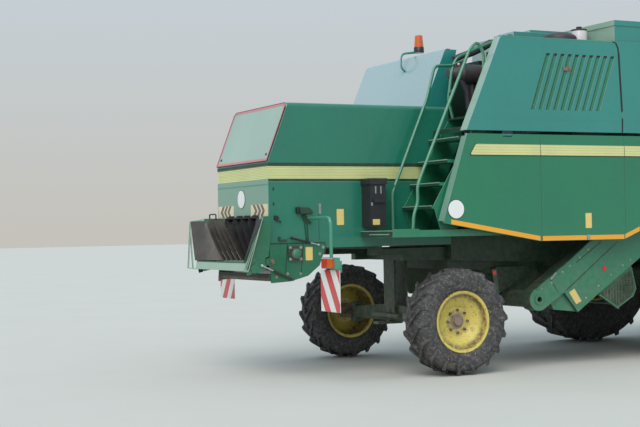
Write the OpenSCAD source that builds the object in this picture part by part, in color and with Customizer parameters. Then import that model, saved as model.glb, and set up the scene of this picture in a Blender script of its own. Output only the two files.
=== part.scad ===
// Straw-walker combine harvester with its grain header, seen standing at working height.
// X runs forward, Y to the left and Z up. Every x below is measured forward of the steering
// axle, and place() moves the whole machine so that its outline is centred on the origin.

/* [Wheels] */
// Distance from the steering axle to the drive axle
wheelbase = 3700; // [3600:50:3900]
// Diameter of a drive tyre over its lugs
front_tyre_d = 1950; // [1900:10:1960]
// Width of a drive tyre
front_tyre_w = 620; // [560:10:640]
// Distance between the middles of the drive tyres
front_track = 2620; // [2600:10:2700]
// Diameter of a steering tyre over its lugs
rear_tyre_d = 1140; // [1100:10:1160]
// Width of a steering tyre
rear_tyre_w = 380; // [340:10:400]
// Distance between the middles of the steering tyres
rear_track = 2540; // [2520:10:2620]
// Height of the tread lugs
lug_h = 38; // [30:1:45]

/* [Body] */
// Width of the threshing and walker body
body_w = 1400; // [1380:10:1420]
// Width over the closed side shields
shield_w = 3000; // [2960:10:3060]
// Thickness of the side shields and panels
panel_t = 40; // [30:1:45]
// Height of the top of the straw hood
hood_top = 2970; // [2940:5:3000]
// Distance that the straw hood reaches behind the steering axle
hood_back = 1900; // [1850:10:1950]
// Thickness of the straw hood's double walls
hood_wall = 40; // [30:1:50]
// Height of the ribbed band
band_h = 134; // [120:1:140]
// Top of the grain tank
tank_top = 3920; // [3880:10:3960]
// Thickness of the grain tank's walls
tank_wall = 40; // [30:1:50]

/* [Cab] */
// Width of the cab
cab_w = 1600; // [1560:10:1640]
// Width of the cab door
door_w = 780; // [760:5:800]

/* [Header] */
// Width between the header's end sheets
header_w = 4880; // [4200:10:5400]
// Diameter over the header auger's flights
auger_d = 610; // [580:5:620]
// Diameter over the reel's tines
reel_d = 1040; // [980:10:1050]
// Number of tine bars on the reel
reel_bars = 6; // [5:1:6]
// Spacing of the knife guards
guard_pitch = 76.2; // [70:0.1:90]

/* [Ladder] */
// Height of one step of the rear ladder
step_rise = 245; // [240:1:248]
// Number of its steps above the platform
step_count = 4; // [3:1:4]
// Diameter of the handrails
rail_d = 34; // [28:1:38]

/* [Hidden] */
$fn = 48;
half_w = body_w / 2;
shield_y = shield_w / 2;
fit = 0.05;

// Ends of the machine, which set the middle
tail_x = -2190;
tip_x = 7600;
mid_x = (tail_x + tip_x) / 2;

// Pivots as [x, z]
feeder_pivot = [4330, 1750];
feeder_pin_r = 30;
feeder_ear_y = 660;
elevator_y = 1200;
header_back = 6000;
boot = [1079, 807];

// Main levels and stations
front_x = wheelbase;
ground = 620 - rear_tyre_d / 2;
front_z = ground + front_tyre_d / 2;
tyre_top = ground + front_tyre_d;
cab_floor = tyre_top - 50;
rear_z = 620;
axle_pivot_z = rear_z + 50;
hood_end = 320;
hood_foot = 1430;
band_z = 2162;
deck_z = 2800;
cab_back = 4000;
cab_sill = cab_back + 1250;
tank_back = 2070;
tank_front = cab_back - 250;
body_top = 2350;
body_front = cab_back + 250;
frame_z = 2640;
seam_z = 2610;

// Carries a drawing of x and z from y0 to y1
module across(y0, y1) translate([0, y1, 0]) rotate([90, 0, 0]) linear_extrude(y1 - y0) children();
// Carries a drawing of y and z from x0 to x1
module along(x0, x1) translate([x0, 0, 0]) rotate([90, 0, 90]) linear_extrude(x1 - x0) children();
module box(lo, hi) translate(lo) cube(hi - lo);
// Round bar along Y
module bar_y(x, z, r, y0, y1) translate([x, y1, z]) rotate([90, 0, 0]) cylinder(r = r, h = y1 - y0);
module both_sides() { children(); mirror([0, 1, 0]) children(); }
// Body heights are drawn from a datum that lies under the ground by the value of ground
module place() translate([-mid_x, 0, -ground]) children();
module place_header() translate([-mid_x, 0, 0]) children();

// A round tube that follows a list of points
function unit(v) = v / norm(v);
function bend_dir(p, i) = i == 0 ? unit(p[1] - p[0])
    : i == len(p) - 1 ? unit(p[i] - p[i - 1]) : unit(unit(p[i] - p[i - 1]) + unit(p[i + 1] - p[i]));
function side_of(d) = unit(cross(d, abs(d.z) < 0.8 ? [0, 0, 1] : [0, 1, 0]));
function ring(c, d, u, r, n) = let (v = cross(d, u)) [for (k = [0:n - 1])
    c + r * (cos(360 * k / n) * u + sin(360 * k / n) * v)];
function carried(u, d) = unit(u - (u * d) * d);
function sides(p, i) = i == 0 ? side_of(bend_dir(p, 0)) : carried(sides(p, i - 1), bend_dir(p, i));
// Closed solid over a list of loops that have the same number of points
module loft(rings) {
    n = len(rings[0]);
    m = len(rings);
    walls = [for (i = [0:m - 2], k = [0:n - 1]) let (a = i * n + k, b = i * n + (k + 1) % n)
        each [[a, b + n, b], [a, a + n, b + n]]];
    caps = [for (k = [1:n - 2]) each [[0, k, k + 1], [(m - 1) * n, (m - 1) * n + k + 1, (m - 1) * n + k]]];
    polyhedron([for (q = rings) each q], concat(caps, walls));
}
module tube(p, r, n = 10) loft([for (i = [0:len(p) - 1]) ring(p[i], bend_dir(p, i), sides(p, i), r, n)]);
// Rounds the corner at b between a and c with an arc of about radius q
function corner(a, b, c, q, n = 4) = let (s = b + q * unit(a - b), e = b + q * unit(c - b))
    [for (k = [0:n]) let (t = k / n) (1 - t) * (1 - t) * s + 2 * t * (1 - t) * b + t * t * e];
function rounded(p, q) = concat([p[0]], [for (i = [1:len(p) - 2]) each corner(p[i - 1], p[i], p[i + 1],
    q)], [p[len(p) - 1]]);

// Frame and body
rail_y = 560;
module chassis() color("darkgreen") place() {
    both_sides() box([-250, rail_y - 50, 1260], [hood_end - 0.3, rail_y + 50, 1400]);
    box([-90, -rail_y - 50, 1260], [90, rail_y + 50, 1360]);
    // The steering axle's pivot bracket
    difference() {
        for (x = [-90, 60]) across(-120, 120) polygon([[x, 1261], [x, axle_pivot_z - 60],
            [x + 30, axle_pivot_z - 60], [x + 30, 1261]]);
        translate([-200, 0, axle_pivot_z]) rotate([0, 90, 0]) cylinder(r = 30 + fit, h = 400);
    }
    // Cross member under the hood's walls
    box([-640, -half_w, 1399], [-560, half_w, 1429.7]);
    both_sides() box([-640, rail_y - 50, 1330], [-170, rail_y + 50, 1400]);
}
module separator_body() color("forestgreen") place() difference() {
    union() {
        across(-half_w, half_w) polygon([
            [hood_end, 1250], [2900, 1150], [3300, 1250], [4000, 1250], [body_front, 1350],
                [body_front, cab_floor],
            [tank_front, cab_floor], [tank_front, body_top], [tank_back, body_top], [tank_back, deck_z],
            [hood_end, deck_z]]);
        // Cleaning shoe with its two cross augers
        across(-600, 600) polygon([
            [330, 1260], [330, 1150], [520, 830], [680, 830], [820, 960], [1020, 740], [1280, 740],
                [1500, 900],
            [2100, 900], [2700, 820], [2900, 1000], [2900, 1160]]);
        bar_y(boot.x, boot.y, 95, -elevator_y + 100.3, -590);
        bar_y(600, 920, 80, 590, 700);
        across(-716, -599) polygon([[903, 1160], [1310, 1160], [1321, 1077], [935, 851]]);
        across(-1010, -998) polygon([[655, 1150], [712, 1150], [752, 790], [700, 790]]);
        bar_y(722, 830, 16, -1005, -590);
        bar_y(690, 1120, 16, -1005, -590);
        // Ears that carry the feeder house
        for (s = [-1, 1]) across(s * feeder_ear_y - 20, s * feeder_ear_y + 20)
            polygon([[body_front - 10, 1600], [4400, 1660], [4430, 1750], [4400, 1840], [body_front - 10,
                1900]]);
    }
    bar_y(feeder_pivot.x, feeder_pivot.y, feeder_pin_r + fit, -half_w - 50, half_w + 50);
}
walker_w = 232;
module straw_walkers() color("dimgray") place() for (k = [-2:2])
    across(k * 262 - walker_w / 2, k * 262 + walker_w / 2) polygon(concat(
        [[hood_end, 1900], [hood_end, 2230]],
        [for (s = [0:4]) each [[120 - 260 * s, 2190 - 60 * s], [100 - 260 * s, 2110 - 60 * s]]],
        [[-1000, 1750], [-900, 1620]]));

// Straw hood: its side outline, and its section with round shoulders
shoulder_r = 50;
module hood_side(inset) polygon([
    [-hood_back + inset, hood_foot - (inset > 0 ? 10 : 0)], [-hood_back + inset, 2338],
    [-1654 + inset * 1.05, hood_top - inset], [hood_end + (inset > 0 ? 10 : 0), hood_top - inset],
    [hood_end + (inset > 0 ? 10 : 0), hood_foot - (inset > 0 ? 10 : 0)]]);
module hood_section(inset) {
    w = half_w - inset;
    translate([-w, 1000]) square([2 * w, hood_top - inset - 1000 - shoulder_r]);
    translate([-w + shoulder_r, 2000]) square([2 * (w - shoulder_r), hood_top - inset - 2000]);
    for (s = [-1, 1]) translate([s * (w - shoulder_r), hood_top - inset - shoulder_r]) circle(shoulder_r);
}
band_depth = 24;
module band_ring(out) difference() {
    translate([-hood_back + out, -half_w + out]) square([hood_back - 7 - out, body_w - 2 * out]);
    translate([-hood_back + band_depth, -half_w + band_depth]) square([hood_back, body_w - 2 * band_depth]);
}
chopper_top = 1475;
module straw_hood() color("seagreen") place() difference() {
    intersection() {
        across(-half_w, half_w) hood_side(0);
        along(-2000, hood_end + 10) hood_section(0);
    }
    intersection() {
        across(-half_w, half_w) hood_side(hood_wall);
        along(-2000, hood_end + 20) hood_section(hood_wall);
    }
    translate([0, 0, band_z]) linear_extrude(band_h) band_ring(-1);
    // Notch over the chopper
    box([-hood_back - 10, -half_w - 1, hood_foot - 10], [-1240, half_w + 1, chopper_top]);
}
band_ribs = 7;
module hood_band() color("khaki") place() translate([0, 0, band_z + 0.3]) difference() {
    linear_extrude(band_h - 0.6) band_ring(4);
    for (k = [1:band_ribs]) translate([0, 0, k * band_h / (band_ribs + 1) - 2]) linear_extrude(4)
        difference() {
        band_ring(-5);
        translate([-hood_back + 9, -half_w + 9]) square([hood_back, body_w - 18]);
    }
}
board_t = 14;
module rear_board() color("lightgray") place() {
    slope = atan2(hood_top - 2338, hood_back - 1654);
    lean = norm([hood_top - 2338, hood_back - 1654]);
    translate([-hood_back - 0.3, 0, 2338]) rotate([0, -slope, 0]) linear_extrude(board_t) difference() {
        translate([6, -half_w + 4]) square([lean - 12, body_w - 8]);
        for (s = [-1, 1]) translate([lean, s * (half_w - 4)]) rotate(45) square(52, center = true);
    }
}

// Chopper and its tailboard, which is folded up against the hood
rotor = [-1620, 1377];
rotor_r = 235;
tail_hinge = [-1925, 1300];
cheek_t = 20;
strut_base = [-1660, 1105];
strut_eye = [-2010, 1262];
module chopper_housing() color("seagreen") place() {
    for (s = [-1, 1]) difference() {
        union() {
            across(s > 0 ? half_w : -half_w - cheek_t, s > 0 ? half_w + cheek_t : -half_w) polygon([
                [-1908, chopper_top + 5], [-1908, 1340], [-1950, 1325], [-1950, 1275], [-1905, 1255],
                    [-1890, 1072],
                [-1666, 1085], [-1464, 1138], [-1328, 1244], [-1255, 1435], [-1255, chopper_top + 5]]);
            // Rotor bearing and the strut's pin
            bar_y(rotor.x, rotor.y, 75, s > 0 ? half_w + cheek_t - 1 : -half_w - cheek_t - 18,
                s > 0 ? half_w + cheek_t + 18 : -half_w - cheek_t + 1);
            bar_y(strut_base.x, strut_base.y, 9, s > 0 ? half_w + cheek_t - 1 : -half_w - 62,
                s > 0 ? half_w + 62 : -half_w - cheek_t + 1);
        }
        bar_y(rotor.x, rotor.y, 35 + fit, -half_w - 60, half_w + 60);
        bar_y(tail_hinge.x, tail_hinge.y, 12 + fit, -half_w - 60, half_w + 60);
    }
    // Rotor trough, open at the back
    across(-half_w, half_w) difference() {
        translate(rotor) circle(275);
        translate(rotor) circle(263);
        translate([-2000, 1255]) square([1000, 500]);
        translate([-2000, 1100]) square([160, 200]);
    }
    box([-1905, -half_w, 1092], [-1840, half_w, 1164]);
}
rotor_l = 1300;
module chopper_rotor() color("dimgray") place() translate([rotor.x, 0, rotor.y]) {
    bar_y(0, 0, 80, -rotor_l / 2, rotor_l / 2);
    bar_y(0, 0, 35, -half_w - cheek_t - 10, half_w + cheek_t + 10);
    for (k = [0:11], a = [0:90:270]) rotate([0, a + 45 * (k % 2), 0])
        translate([-25, (k - 5.5) * rotor_l / 12 - 4, 70]) cube([50, 8, rotor_r - 70]);
    // Belt pulley on the right end
    bar_y(0, 0, 35, -half_w - cheek_t - 49, 0);
    bar_y(0, 0, 60, -half_w - cheek_t - 50, -half_w - cheek_t - 24);
}
// Tailboard: a plate between two flared side walls, with a pale rim, and a fan of vanes on the plate
flare = 125;
tail_low = 1235;
tail_high = 1770;
tail_wall_t = 6;
tail_edge = [[-2170, 1232], [-2030, tail_high]];
rim_t = 13;
vane_t = 6;
vane_top = 1755;
// Foot and top of each vane as distances from the middle
vanes = [[0, 250], [130, 410], [260, 560], [390, 690], [520, 800]];
lean_out = flare / (tail_high - tail_low);
function tail_rim(z) = tail_edge[0].x + (z - tail_edge[0].y) * (tail_edge[1].x - tail_edge[0].x)
    / (tail_edge[1].y - tail_edge[0].y) - 0.3;
function tail_face(z) = -1944.3 + (z - 1285) * 15 / 485;
// Shifts what is drawn at y = 0 so that it passes y0 at the height z0 and leans out from there
module leaning(y0, z0, rate) multmatrix([[1, 0, 0, 0], [0, 1, rate, y0 - z0 * rate], [0, 0, 1, 0]])
    children();
module tailboard() color("seagreen") place() {
    // Plate on the hood side
    intersection() {
        across(-900, 900) polygon([[-1944, 1285], [-1929, tail_high], [-1917, tail_high], [-1930, 1285]]);
        along(-2000, -1900) polygon([for (s = [1, -1], q = s > 0 ? [[690, 1200], [690, 1350], [716, 1351],
            [690 + flare, 1770]]
            : [[690 + flare, 1770], [716, 1351], [690, 1350], [690, 1200]]) [s * q.x, q.y]]);
    }
    both_sides() leaning(690, tail_low, lean_out) across(-tail_wall_t, 0) polygon([
        [-1988, 1230], [-2105, 1214], [-2165, 1228], tail_edge[0], tail_edge[1], [-1917, tail_high],
        [-1917, 1350], [-1935, 1345], [-1965, 1330]]);
    // Hinge tube with its pins
    bar_y(tail_hinge.x, tail_hinge.y, 20, -690, 690);
    bar_y(tail_hinge.x, tail_hinge.y, 12, -half_w - cheek_t, half_w + cheek_t);
    both_sides() bar_y(strut_eye.x, strut_eye.y, 9, 680, strut_y - 9);
}
module tail_frame() color("lightgray") place() {
    // Lower rail
    across(-693, 693) polygon([
        [tail_rim(1206), 1206], [tail_rim(1296), 1296], [tail_rim(1296) - rim_t, 1296],
            [tail_rim(1206) - rim_t, 1206]]);
    // A rim on each wall: an outer flange, an inner lip and the loop that joins them at the top
    both_sides() for (q = [[-22, 4, tail_high], [-56, -48, 1722]])
        leaning(690, tail_low, lean_out) across(q[0], q[1]) polygon([
            [tail_rim(1240), 1240], [tail_rim(q[2]), q[2]], [tail_rim(q[2]) - rim_t, q[2]],
                [tail_rim(1240) - rim_t, 1240]]);
    both_sides() leaning(690, tail_low, lean_out) across(-56, 0) polygon([
        [tail_rim(1714), 1714], [tail_rim(1722), 1722], [tail_rim(1722) - rim_t, 1722],
            [tail_rim(1714) - rim_t, 1714]]);
}
module tail_vanes() color("dimgray") place() {
    inner = 690 - tail_wall_t - 0.3;
    both_sides() intersection() {
        for (v = vanes) leaning(v[0], 1292, (v[1] - v[0]) / (vane_top - 1292)) across(-vane_t / 2,
            vane_t / 2) polygon([
            [tail_face(1330), 1330], [tail_hinge.x - 20.6, 1300], [-1966, 1302], [-1992, 1400],
                [-2020, 1550], [tail_rim(1690) + 14, 1690],
            [tail_rim(vane_top - 25) + 14, vane_top - 25], [tail_face(vane_top), vane_top]]);
        along(-2100, -1900) polygon([
            [-20, 1200], [inner + (1200 - tail_low) * lean_out, 1200],
                [inner + (1800 - tail_low) * lean_out, 1800], [-20, 1800]]);
    }
}
strut_y = 745;
module both_struts() both_sides() translate([0, strut_y, 0]) children();
// A barrel from a to b and the rod that slides in it out to c, in a plane of x and z
module barrel(a, b, r, rod_r, eye_r, depth, pin_r) {
    d = unit(b - a);
    tilt = atan2(d.y, d.x);
    difference() {
        union() {
            translate([a.x, 0, a.y]) rotate([0, -tilt, 0]) rotate([0, 90, 0]) translate([0, 0,
                eye_r * 0.6]) cylinder(r = r, h = norm(b - a) - eye_r * 0.6);
            bar_y(a.x, a.y, eye_r, -r - 2, r + 2);
        }
        bar_y(a.x, a.y, pin_r + fit, -r - 9, r + 9);
        translate([b.x, 0, b.y]) rotate([0, -tilt, 0]) rotate([0, 90, 0]) translate([0, 0, -depth])
            cylinder(r = rod_r + fit, h = depth + 1);
    }
}
module rod(c, back, length, r, eye_r, eye_w) {
    d = unit(back - c);
    tilt = atan2(d.y, d.x);
    translate([c.x, 0, c.y]) rotate([0, -tilt, 0]) rotate([0, 90, 0]) cylinder(r = r, h = length);
    bar_y(c.x, c.y, eye_r, -eye_w, eye_w);
}
strut_closed = 240;
module strut_barrels() color("black") place() both_struts()
    barrel(strut_base, strut_base + strut_closed * unit(strut_eye - strut_base), 12, 7, 15, 214, 9);
module strut_rods() color("silver") place() both_struts()
    rod(strut_eye, strut_base, 250, 7, 14, 8);

// Boards and lamps at the rear corners
board = 423;
board_at = [-1525, 1360];
board_t2 = 6;
pipe_r = 18;
// Side and height of the middle of each board
board_z = [[-1, 1000], [1, 1036]];
module warning_boards() color("white") place() for (q = board_z)
    translate([board_at.x - board_t2, q[0] * board_at.y - board / 2, q[1] - board / 2]) cube([board_t2,
        board, board]);
module lamp_brackets() color("seagreen") place() for (q = board_z) {
    s = q[0];
    pipe_x = board_at.x + 10 + pipe_r;
    pipe_y = s * (board_at.y - 30);
    top = 1742;
    tube(rounded([
        [pipe_x + 47, s * (half_w + 6), top], [pipe_x, pipe_y, top], [pipe_x, pipe_y, q[1] - 10]],
            90), pipe_r);
    // Foot on the hood, plate behind the board and hook behind the lamp
    bar_y(pipe_x + 47, top, 45, min(s * (half_w + 0.3), s * (half_w + 14)), max(s * (half_w + 0.3),
        s * (half_w + 14)));
    translate([board_at.x + 0.3, pipe_y - 60, q[1] - 40]) cube([25, 120, 240]);
    translate([board_at.x + 10, pipe_y - 12, q[1] + 180]) cube([130, 24, 120]);
    // Tail lamp
    translate([board_at.x - 45, s * (board_at.y + 40) - 140, q[1] + board / 2 + 14]) cube([62, 280, 112]);
}

// Ladder, platform and handrails on the right side of the hood
platform_z = 1597;
stair_y = [-1334, -718];
rail_out = -1345;
rail_in = -800;
tread_x = [-303, -203, -99, 47];
function step_z(k) = platform_z + (k + 1) * step_rise + 12;
module rear_ladder() color("seagreen") place() {
    box([-820, -1400, platform_z - 72], [700, -720, platform_z - 60]);
    box([-820, -1400, platform_z - 72], [700, -1388, platform_z]);
    box([-820, -1400, platform_z - 72], [-808, -720, platform_z]);
    box([-820, -1400, platform_z - 12], [100, -half_w - 0.3, platform_z]);
    box([-640, -760, platform_z - 72], [-560, -half_w - 0.3, platform_z]);
    // Stringers and the top landing
    for (y = [stair_y[0] - 6, stair_y[1] - 6]) across(y, y + 12) polygon([
        [-200, platform_z - 1], [0, platform_z - 1], [560, deck_z + 30], [320, deck_z + 30],
            [tread_x[0] + 20, step_z(0)]]);
    box([300, stair_y[0], deck_z + 10], [640, stair_y[1], deck_z + 30]);
    // Rails
    for (q = [
        [rail_in, 60, [[-470, platform_z - 5], [-470, 2010], [-425, 2115], [-14, 3041], [90, 3405],
            [330, 3418]]],
        [rail_in, 60, [[318, deck_z + 20], [262, 3035], [318, 3380], [372, 3500], [660, 3625],
            [940, 3735], [940, 3600.3]]],
        [rail_out, 50, [[-542, platform_z - 5], [-530, 1755], [-477, 1890], [-480, 2050], [-428, 2179],
            [205, 3530], [300, 3610], [375, 3500], [380, deck_z + 20]]]])
        tube(rounded([for (p = q[2]) [p.x, q[0], p.y]], q[1]), rail_d / 2);
    // Two bars across the top of the ladder
    for (q = [[[274, 3110], [20, 3110]], [[340, 3430], [158, 3425]]])
        tube([[q[0].x, rail_in, q[0].y], [q[1].x, rail_out, q[1].y]], 9);
    box([-780, -1400, platform_z - 2], [-500, -1340, platform_z + 14]);
}
// Treads between the stringers
module ladder_treads() color("seagreen") place() for (k = [0:step_count - 1])
    box([tread_x[k], stair_y[0] + 6.3, step_z(k) - 35], [tread_x[k] + 240, stair_y[1] - 6.3, step_z(k)]);
module extinguisher_case() color("black") place() {
    box([-800, -900, 1640], [-610, -half_w - 0.3, 2140]);
    box([-812, -912, 2095], [-598, -half_w - 0.3, 2160]);
    box([-770, -925, 1900], [-640, -890, 1940]);
}

// Upper covers and lower shields
cover_back = [[45, 2645], [498, 3664]];
left_cover_top = 3190;
wall_end = -390;
slot_n = 10;
slot_pitch = 97.6;
slot_w = 53;
slot_top = [1090, 3500];
slot_foot = [871, 2882];
module slot(k) translate([k * slot_pitch, 0]) polygon([
    slot_foot, slot_foot + [slot_w, 0], slot_top + [slot_w, 0], slot_top]);
module engine_panels() color("forestgreen") place() {
    // Right panel with its slots, its top edge and its return at the back
    difference() {
        across(-shield_y, -shield_y + panel_t) polygon(concat([[45, 2645]], rounded([[270, 3150],
            [498, 3670], [3900, 3670]], 45),
            [[3900, 2645]]));
        across(-shield_y - 1, -shield_y + panel_t + 1) for (k = [0:slot_n - 1]) slot(k);
        across(-shield_y - 1, -shield_y + 8) polygon([[2013, 3680], [2063, 3600], [2110, 2640],
            [2122, 2640], [2075, 3600], [2025, 3680]]);
    }
    across(-shield_y + panel_t - 1, -bevel_y) polygon([[60, 2645], [506, 3650], [536, 3650], [90, 2645]]);
    across(-shield_y + panel_t - 1, -bevel_y) polygon([[498, 3632], [498, 3670], [1300, 3670],
        [1300, 3640]]);
    // Wall across the back of the left side, its return beside the ladder, and the left side panel
    difference() {
        union() {
            across(wall_end, shield_y) polygon([[45, 2645], [478, 3640], [505, 3668], [560, 3668],
                [536, 3640], [85, 2645]]);
            across(wall_end, wall_end + 40) polygon([[60, 2645], [500, 3660], [640, 3660], [420, 2645]]);
        }
        box([-100, -half_w - 6, 2600], [600, half_w + 6, hood_top + 6]);
    }
    across(shield_y - panel_t, shield_y) polygon([[45, 2645], [282, left_cover_top],
        [3600, left_cover_top], [3600, 2645]]);
    beacon_parts();
    // Hinge knuckles of the lower shields
    both_sides() for (x = shield_hinges) difference() {
        union() {
            translate([x + 6, hinge_y, hinge_z]) rotate([0, 90, 0]) cylinder(r = 13, h = 108);
            box([x + 6, hinge_y - 10, hinge_z], [x + 114, hinge_y + 8, 2646]);
        }
        translate([x - 20, hinge_y, hinge_z]) rotate([0, 90, 0]) cylinder(r = 7 + fit, h = 160);
    }
    // Deck frame under both
    both_sides() {
        box([520, half_w + 0.3, frame_z], [2060, half_w + 30, frame_z + 60]);
        for (x = [100, 1100, 2000]) box([x, half_w + 29, frame_z + 5], [x + 60, shield_y - 1, frame_z + 55]);
        box([3500, 1090, frame_z + 5], [3560, shield_y - 1, frame_z + 55]);
        box([90, shield_y - panel_t - 30, frame_z + 5], [3580, shield_y - panel_t + 1, frame_z + 55]);
    }
}
hinge_y = 1490;
hinge_z = 2600;
bevel_y = 1370;
shield_hinges = [500, 3400];
shield_out = [
    [50, 2610], [-256, 1689], [-240, 1664], [-190, 1652], [967, 1452], [2109, 1450], [2330, 1537],
    [3950, tyre_top + 190], [3950, 2610]];
module shield() {
    across(shield_y - panel_t, shield_y) difference() {
        polygon(shield_out);
        for (x = [985, 2130]) translate([x - 3, 1440]) square([6, 1200]);
        for (x = shield_hinges) translate([x, hinge_z - 20]) square([120, 60]);
    }
    // Hinge pins across the notches
    for (x = shield_hinges) translate([x - 10, hinge_y, hinge_z]) rotate([0, 90, 0]) cylinder(r = 7,
        h = 140);
    for (x = [985, 2130]) across(shield_y - panel_t - 6, shield_y - panel_t + 1) polygon([[x - 40, 1470],
        [x + 40, 1470], [x + 40, 2560], [x - 40, 2560]]);
    // Pale bevel at the back edge, and stiffening ribs
    across(bevel_y, shield_y - panel_t + 1) polygon([[60, 2590], [-250, 1690], [-215, 1676], [100, 2590]]);
    for (x = [1000, 2150, 3300]) across(shield_y - panel_t - 40, shield_y - panel_t + 1) polygon([[x,
        2000], [x + 40, 2000], [x + 40, 2560], [x, 2560]]);
}
module shield_right() color("forestgreen") place() mirror([0, 1, 0]) shield();
module shield_left() color("forestgreen") place() shield();

// Grain tank, engine deck and cooling
tank_right = -1450;
tank_left = 1100;
module grain_tank() color("forestgreen") place() difference() {
    union() {
        along(tank_back, tank_front) polygon([[tank_right, 3050], [tank_right, tank_top],
            [tank_left, tank_top], [tank_left, 3050],
            [half_w - 5, body_top + 0.3], [-half_w + 5, body_top + 0.3]]);
        // Folding flaps on the top edge, with a rounded crown at the back
        box([tank_back - 8, tank_right - 8, tank_top - 60], [tank_front + 8, tank_left + 8, tank_top]);
        box([tank_back - 560, -620, tank_top - 270], [tank_back + 1, 620, tank_top - 20]);
    }
    w = tank_wall;
    along(tank_back + w, tank_front - w) polygon([[tank_right + w, 3070], [tank_right + w, tank_top + 1],
        [tank_left - w, tank_top + 1], [tank_left - w, 3070],
        [250, body_top + 60], [-250, body_top + 60]]);
}
module engine() color("darkslategray") place() {
    box([900, -430, deck_z + 0.3], [tank_back - 110, 430, tank_top - 500]);
    box([1000, -300, tank_top - 501], [1800, 300, tank_top - 360]);
    // Hot air pipe and fan pulley
    tube(rounded([[1100, 200, tank_top - 361], [1100, 200, tank_top - 280], [800, 380, tank_top - 280],
        [700, 430, tank_top - 360], [700, 430, deck_z + 10]], 80), 30);
    box([640, 380, deck_z + 0.3], [760, 480, deck_z + 30]);
    bar_y(1010, 3050, 110, -500, -425);
}
muffler_y = -580;
module muffler() color("dimgray") place() {
    z = deck_z + 555;
    translate([560, muffler_y, z]) rotate([0, 90, 0]) cylinder(r = 114, h = 520);
    translate([400, muffler_y, z]) rotate([0, 90, 0]) cylinder(r1 = 45, r2 = 114, h = 161);
    translate([720, muffler_y, deck_z + 0.3]) cylinder(r = 30, h = 500);
    translate([1020, muffler_y, z]) cylinder(r = 30, h = 410);
    translate([640, muffler_y - 80, deck_z + 0.3]) cube([160, 160, 14]);
}
module cooling_box() color("darkslategray") place() {
    difference() {
        box([840, -1420, deck_z - 90], [2020, -700.3, 3600]);
        // Screen recess behind the slots
        translate([1430, -1380, 3190]) rotate([90, 0, 0]) cylinder(r = 350, h = 100);
    }
    translate([1430, -1379, 3190]) rotate([90, 0, 0]) cylinder(r = 90, h = 25);
    // Air cleaner dome and the bottle beside it
    translate([1635, -1000, 3599]) cylinder(r = 200, h = 150);
    translate([1635, -1000, 3748]) cylinder(r1 = 200, r2 = 90, h = 62);
    translate([1928, -990, 3599]) cylinder(r = 90, h = 271);
    translate([1928, -990, 3869]) cylinder(r = 30, h = 30);
}
beacon = [610, 400];
module beacon_parts() {
    tube(rounded([[430, beacon.y, 3480], [352, beacon.y, 3530], [362, beacon.y, 3700],
        [beacon.x, beacon.y, 3735]], 60), 14);
    translate([beacon.x, beacon.y, 3720]) cylinder(r = 60, h = 60);
    translate([beacon.x, beacon.y, 3779]) cylinder(r1 = 56, r2 = 44, h = 150);
}

// Unloading auger on its turret, folded back along the left side
swing = [3750, 1300];
tube_r = 130;
tube_z = 3400;
module unloader_turret() color("forestgreen") place() {
    translate([swing.x, swing.y, tyre_top + 45]) cylinder(r = 150, h = 3180 - tyre_top - 45);
    translate([swing.x, swing.y, 3179]) cylinder(r = 175, h = 26);
    box([swing.x - 90, half_w + 0.3, tyre_top + 50], [swing.x + 90, swing.y, tyre_top + 240]);
}
module unloading_auger() color("seagreen") place() {
    translate([swing.x, swing.y, 3205.3]) cylinder(r = 175, h = 25);
    translate([swing.x, swing.y, 3229]) cylinder(r = 140, h = 171);
    translate([swing.x, swing.y, tube_z]) sphere(r = 140);
    translate([800, swing.y, tube_z]) rotate([0, 90, 0]) cylinder(r = tube_r, h = swing.x - 800);
    // Spout
    across(swing.y - 135, swing.y + 135) polygon([[1060, tube_z + 135], [760, tube_z + 135], [680, 3330],
        [720, 3225], [960, 3225], [1060, 3290]]);
}

// Cab
roof_z = 3620;
post = 60;
cab_brow = cab_sill + 250;
cab_nose = [cab_sill + 310, 3000];
module cab_side() polygon([
    [cab_back, cab_floor + 30], [cab_back, roof_z], [cab_brow, roof_z], cab_nose,
    [cab_sill + 120, 2320], [cab_sill, cab_floor + 30]]);
module cab_hole() polygon([
    [cab_back + post, 2500], [cab_back + post, roof_z - post], [cab_brow - post, roof_z - post],
    cab_nose - [65, 0], [cab_sill + 90, 2400], [cab_sill + 20, cab_floor + 110],
    [cab_sill - 290, cab_floor + 110], [cab_sill - 290, 2500]]);
door_x = [cab_back + 110, cab_back + 900];
cab_y = cab_w / 2;
door_fit = 8;
module door_profile(g) translate([door_x[0] + g, cab_floor + 80 + g])
    square([door_x[1] - door_x[0] - 2 * g, roof_z - cab_floor - 170 - 2 * g]);
module left_hole() difference() {
    cab_hole();
    translate([cab_back, 1900]) square([1000, 2000]);
}
module pane_profile(low) translate([-cab_y + post, low]) square([2 * (cab_y - post), roof_z - post - low]);
module cab_frame() color("black") place() {
    cab_shell();
    // Pins of the door hinges
    for (z = knuckle_z) {
        translate([door_hinge.x, door_hinge.y, z - 10]) cylinder(r = 8, h = 98);
        box([door_x[0] - 30, cab_y - 1, z - 20], [door_x[0] + 2, door_hinge.y + 15, z - 5]);
    }
}
module cab_shell() difference() {
    across(-cab_y, cab_y) cab_side();
    // Room inside
    across(-cab_y + post, cab_y - post) offset(delta = -post) cab_side();
    // Windows: sides, front and back
    across(-cab_y - 1, -cab_y + post + 1) cab_hole();
    across(cab_y - post - 1, cab_y + 1) {
        left_hole();
        door_profile(0);
    }
    along(cab_sill - 50, cab_sill + 450) pane_profile(cab_floor + 110);
    along(cab_back - 100, cab_back + post + 1) pane_profile(2700);
}
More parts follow.
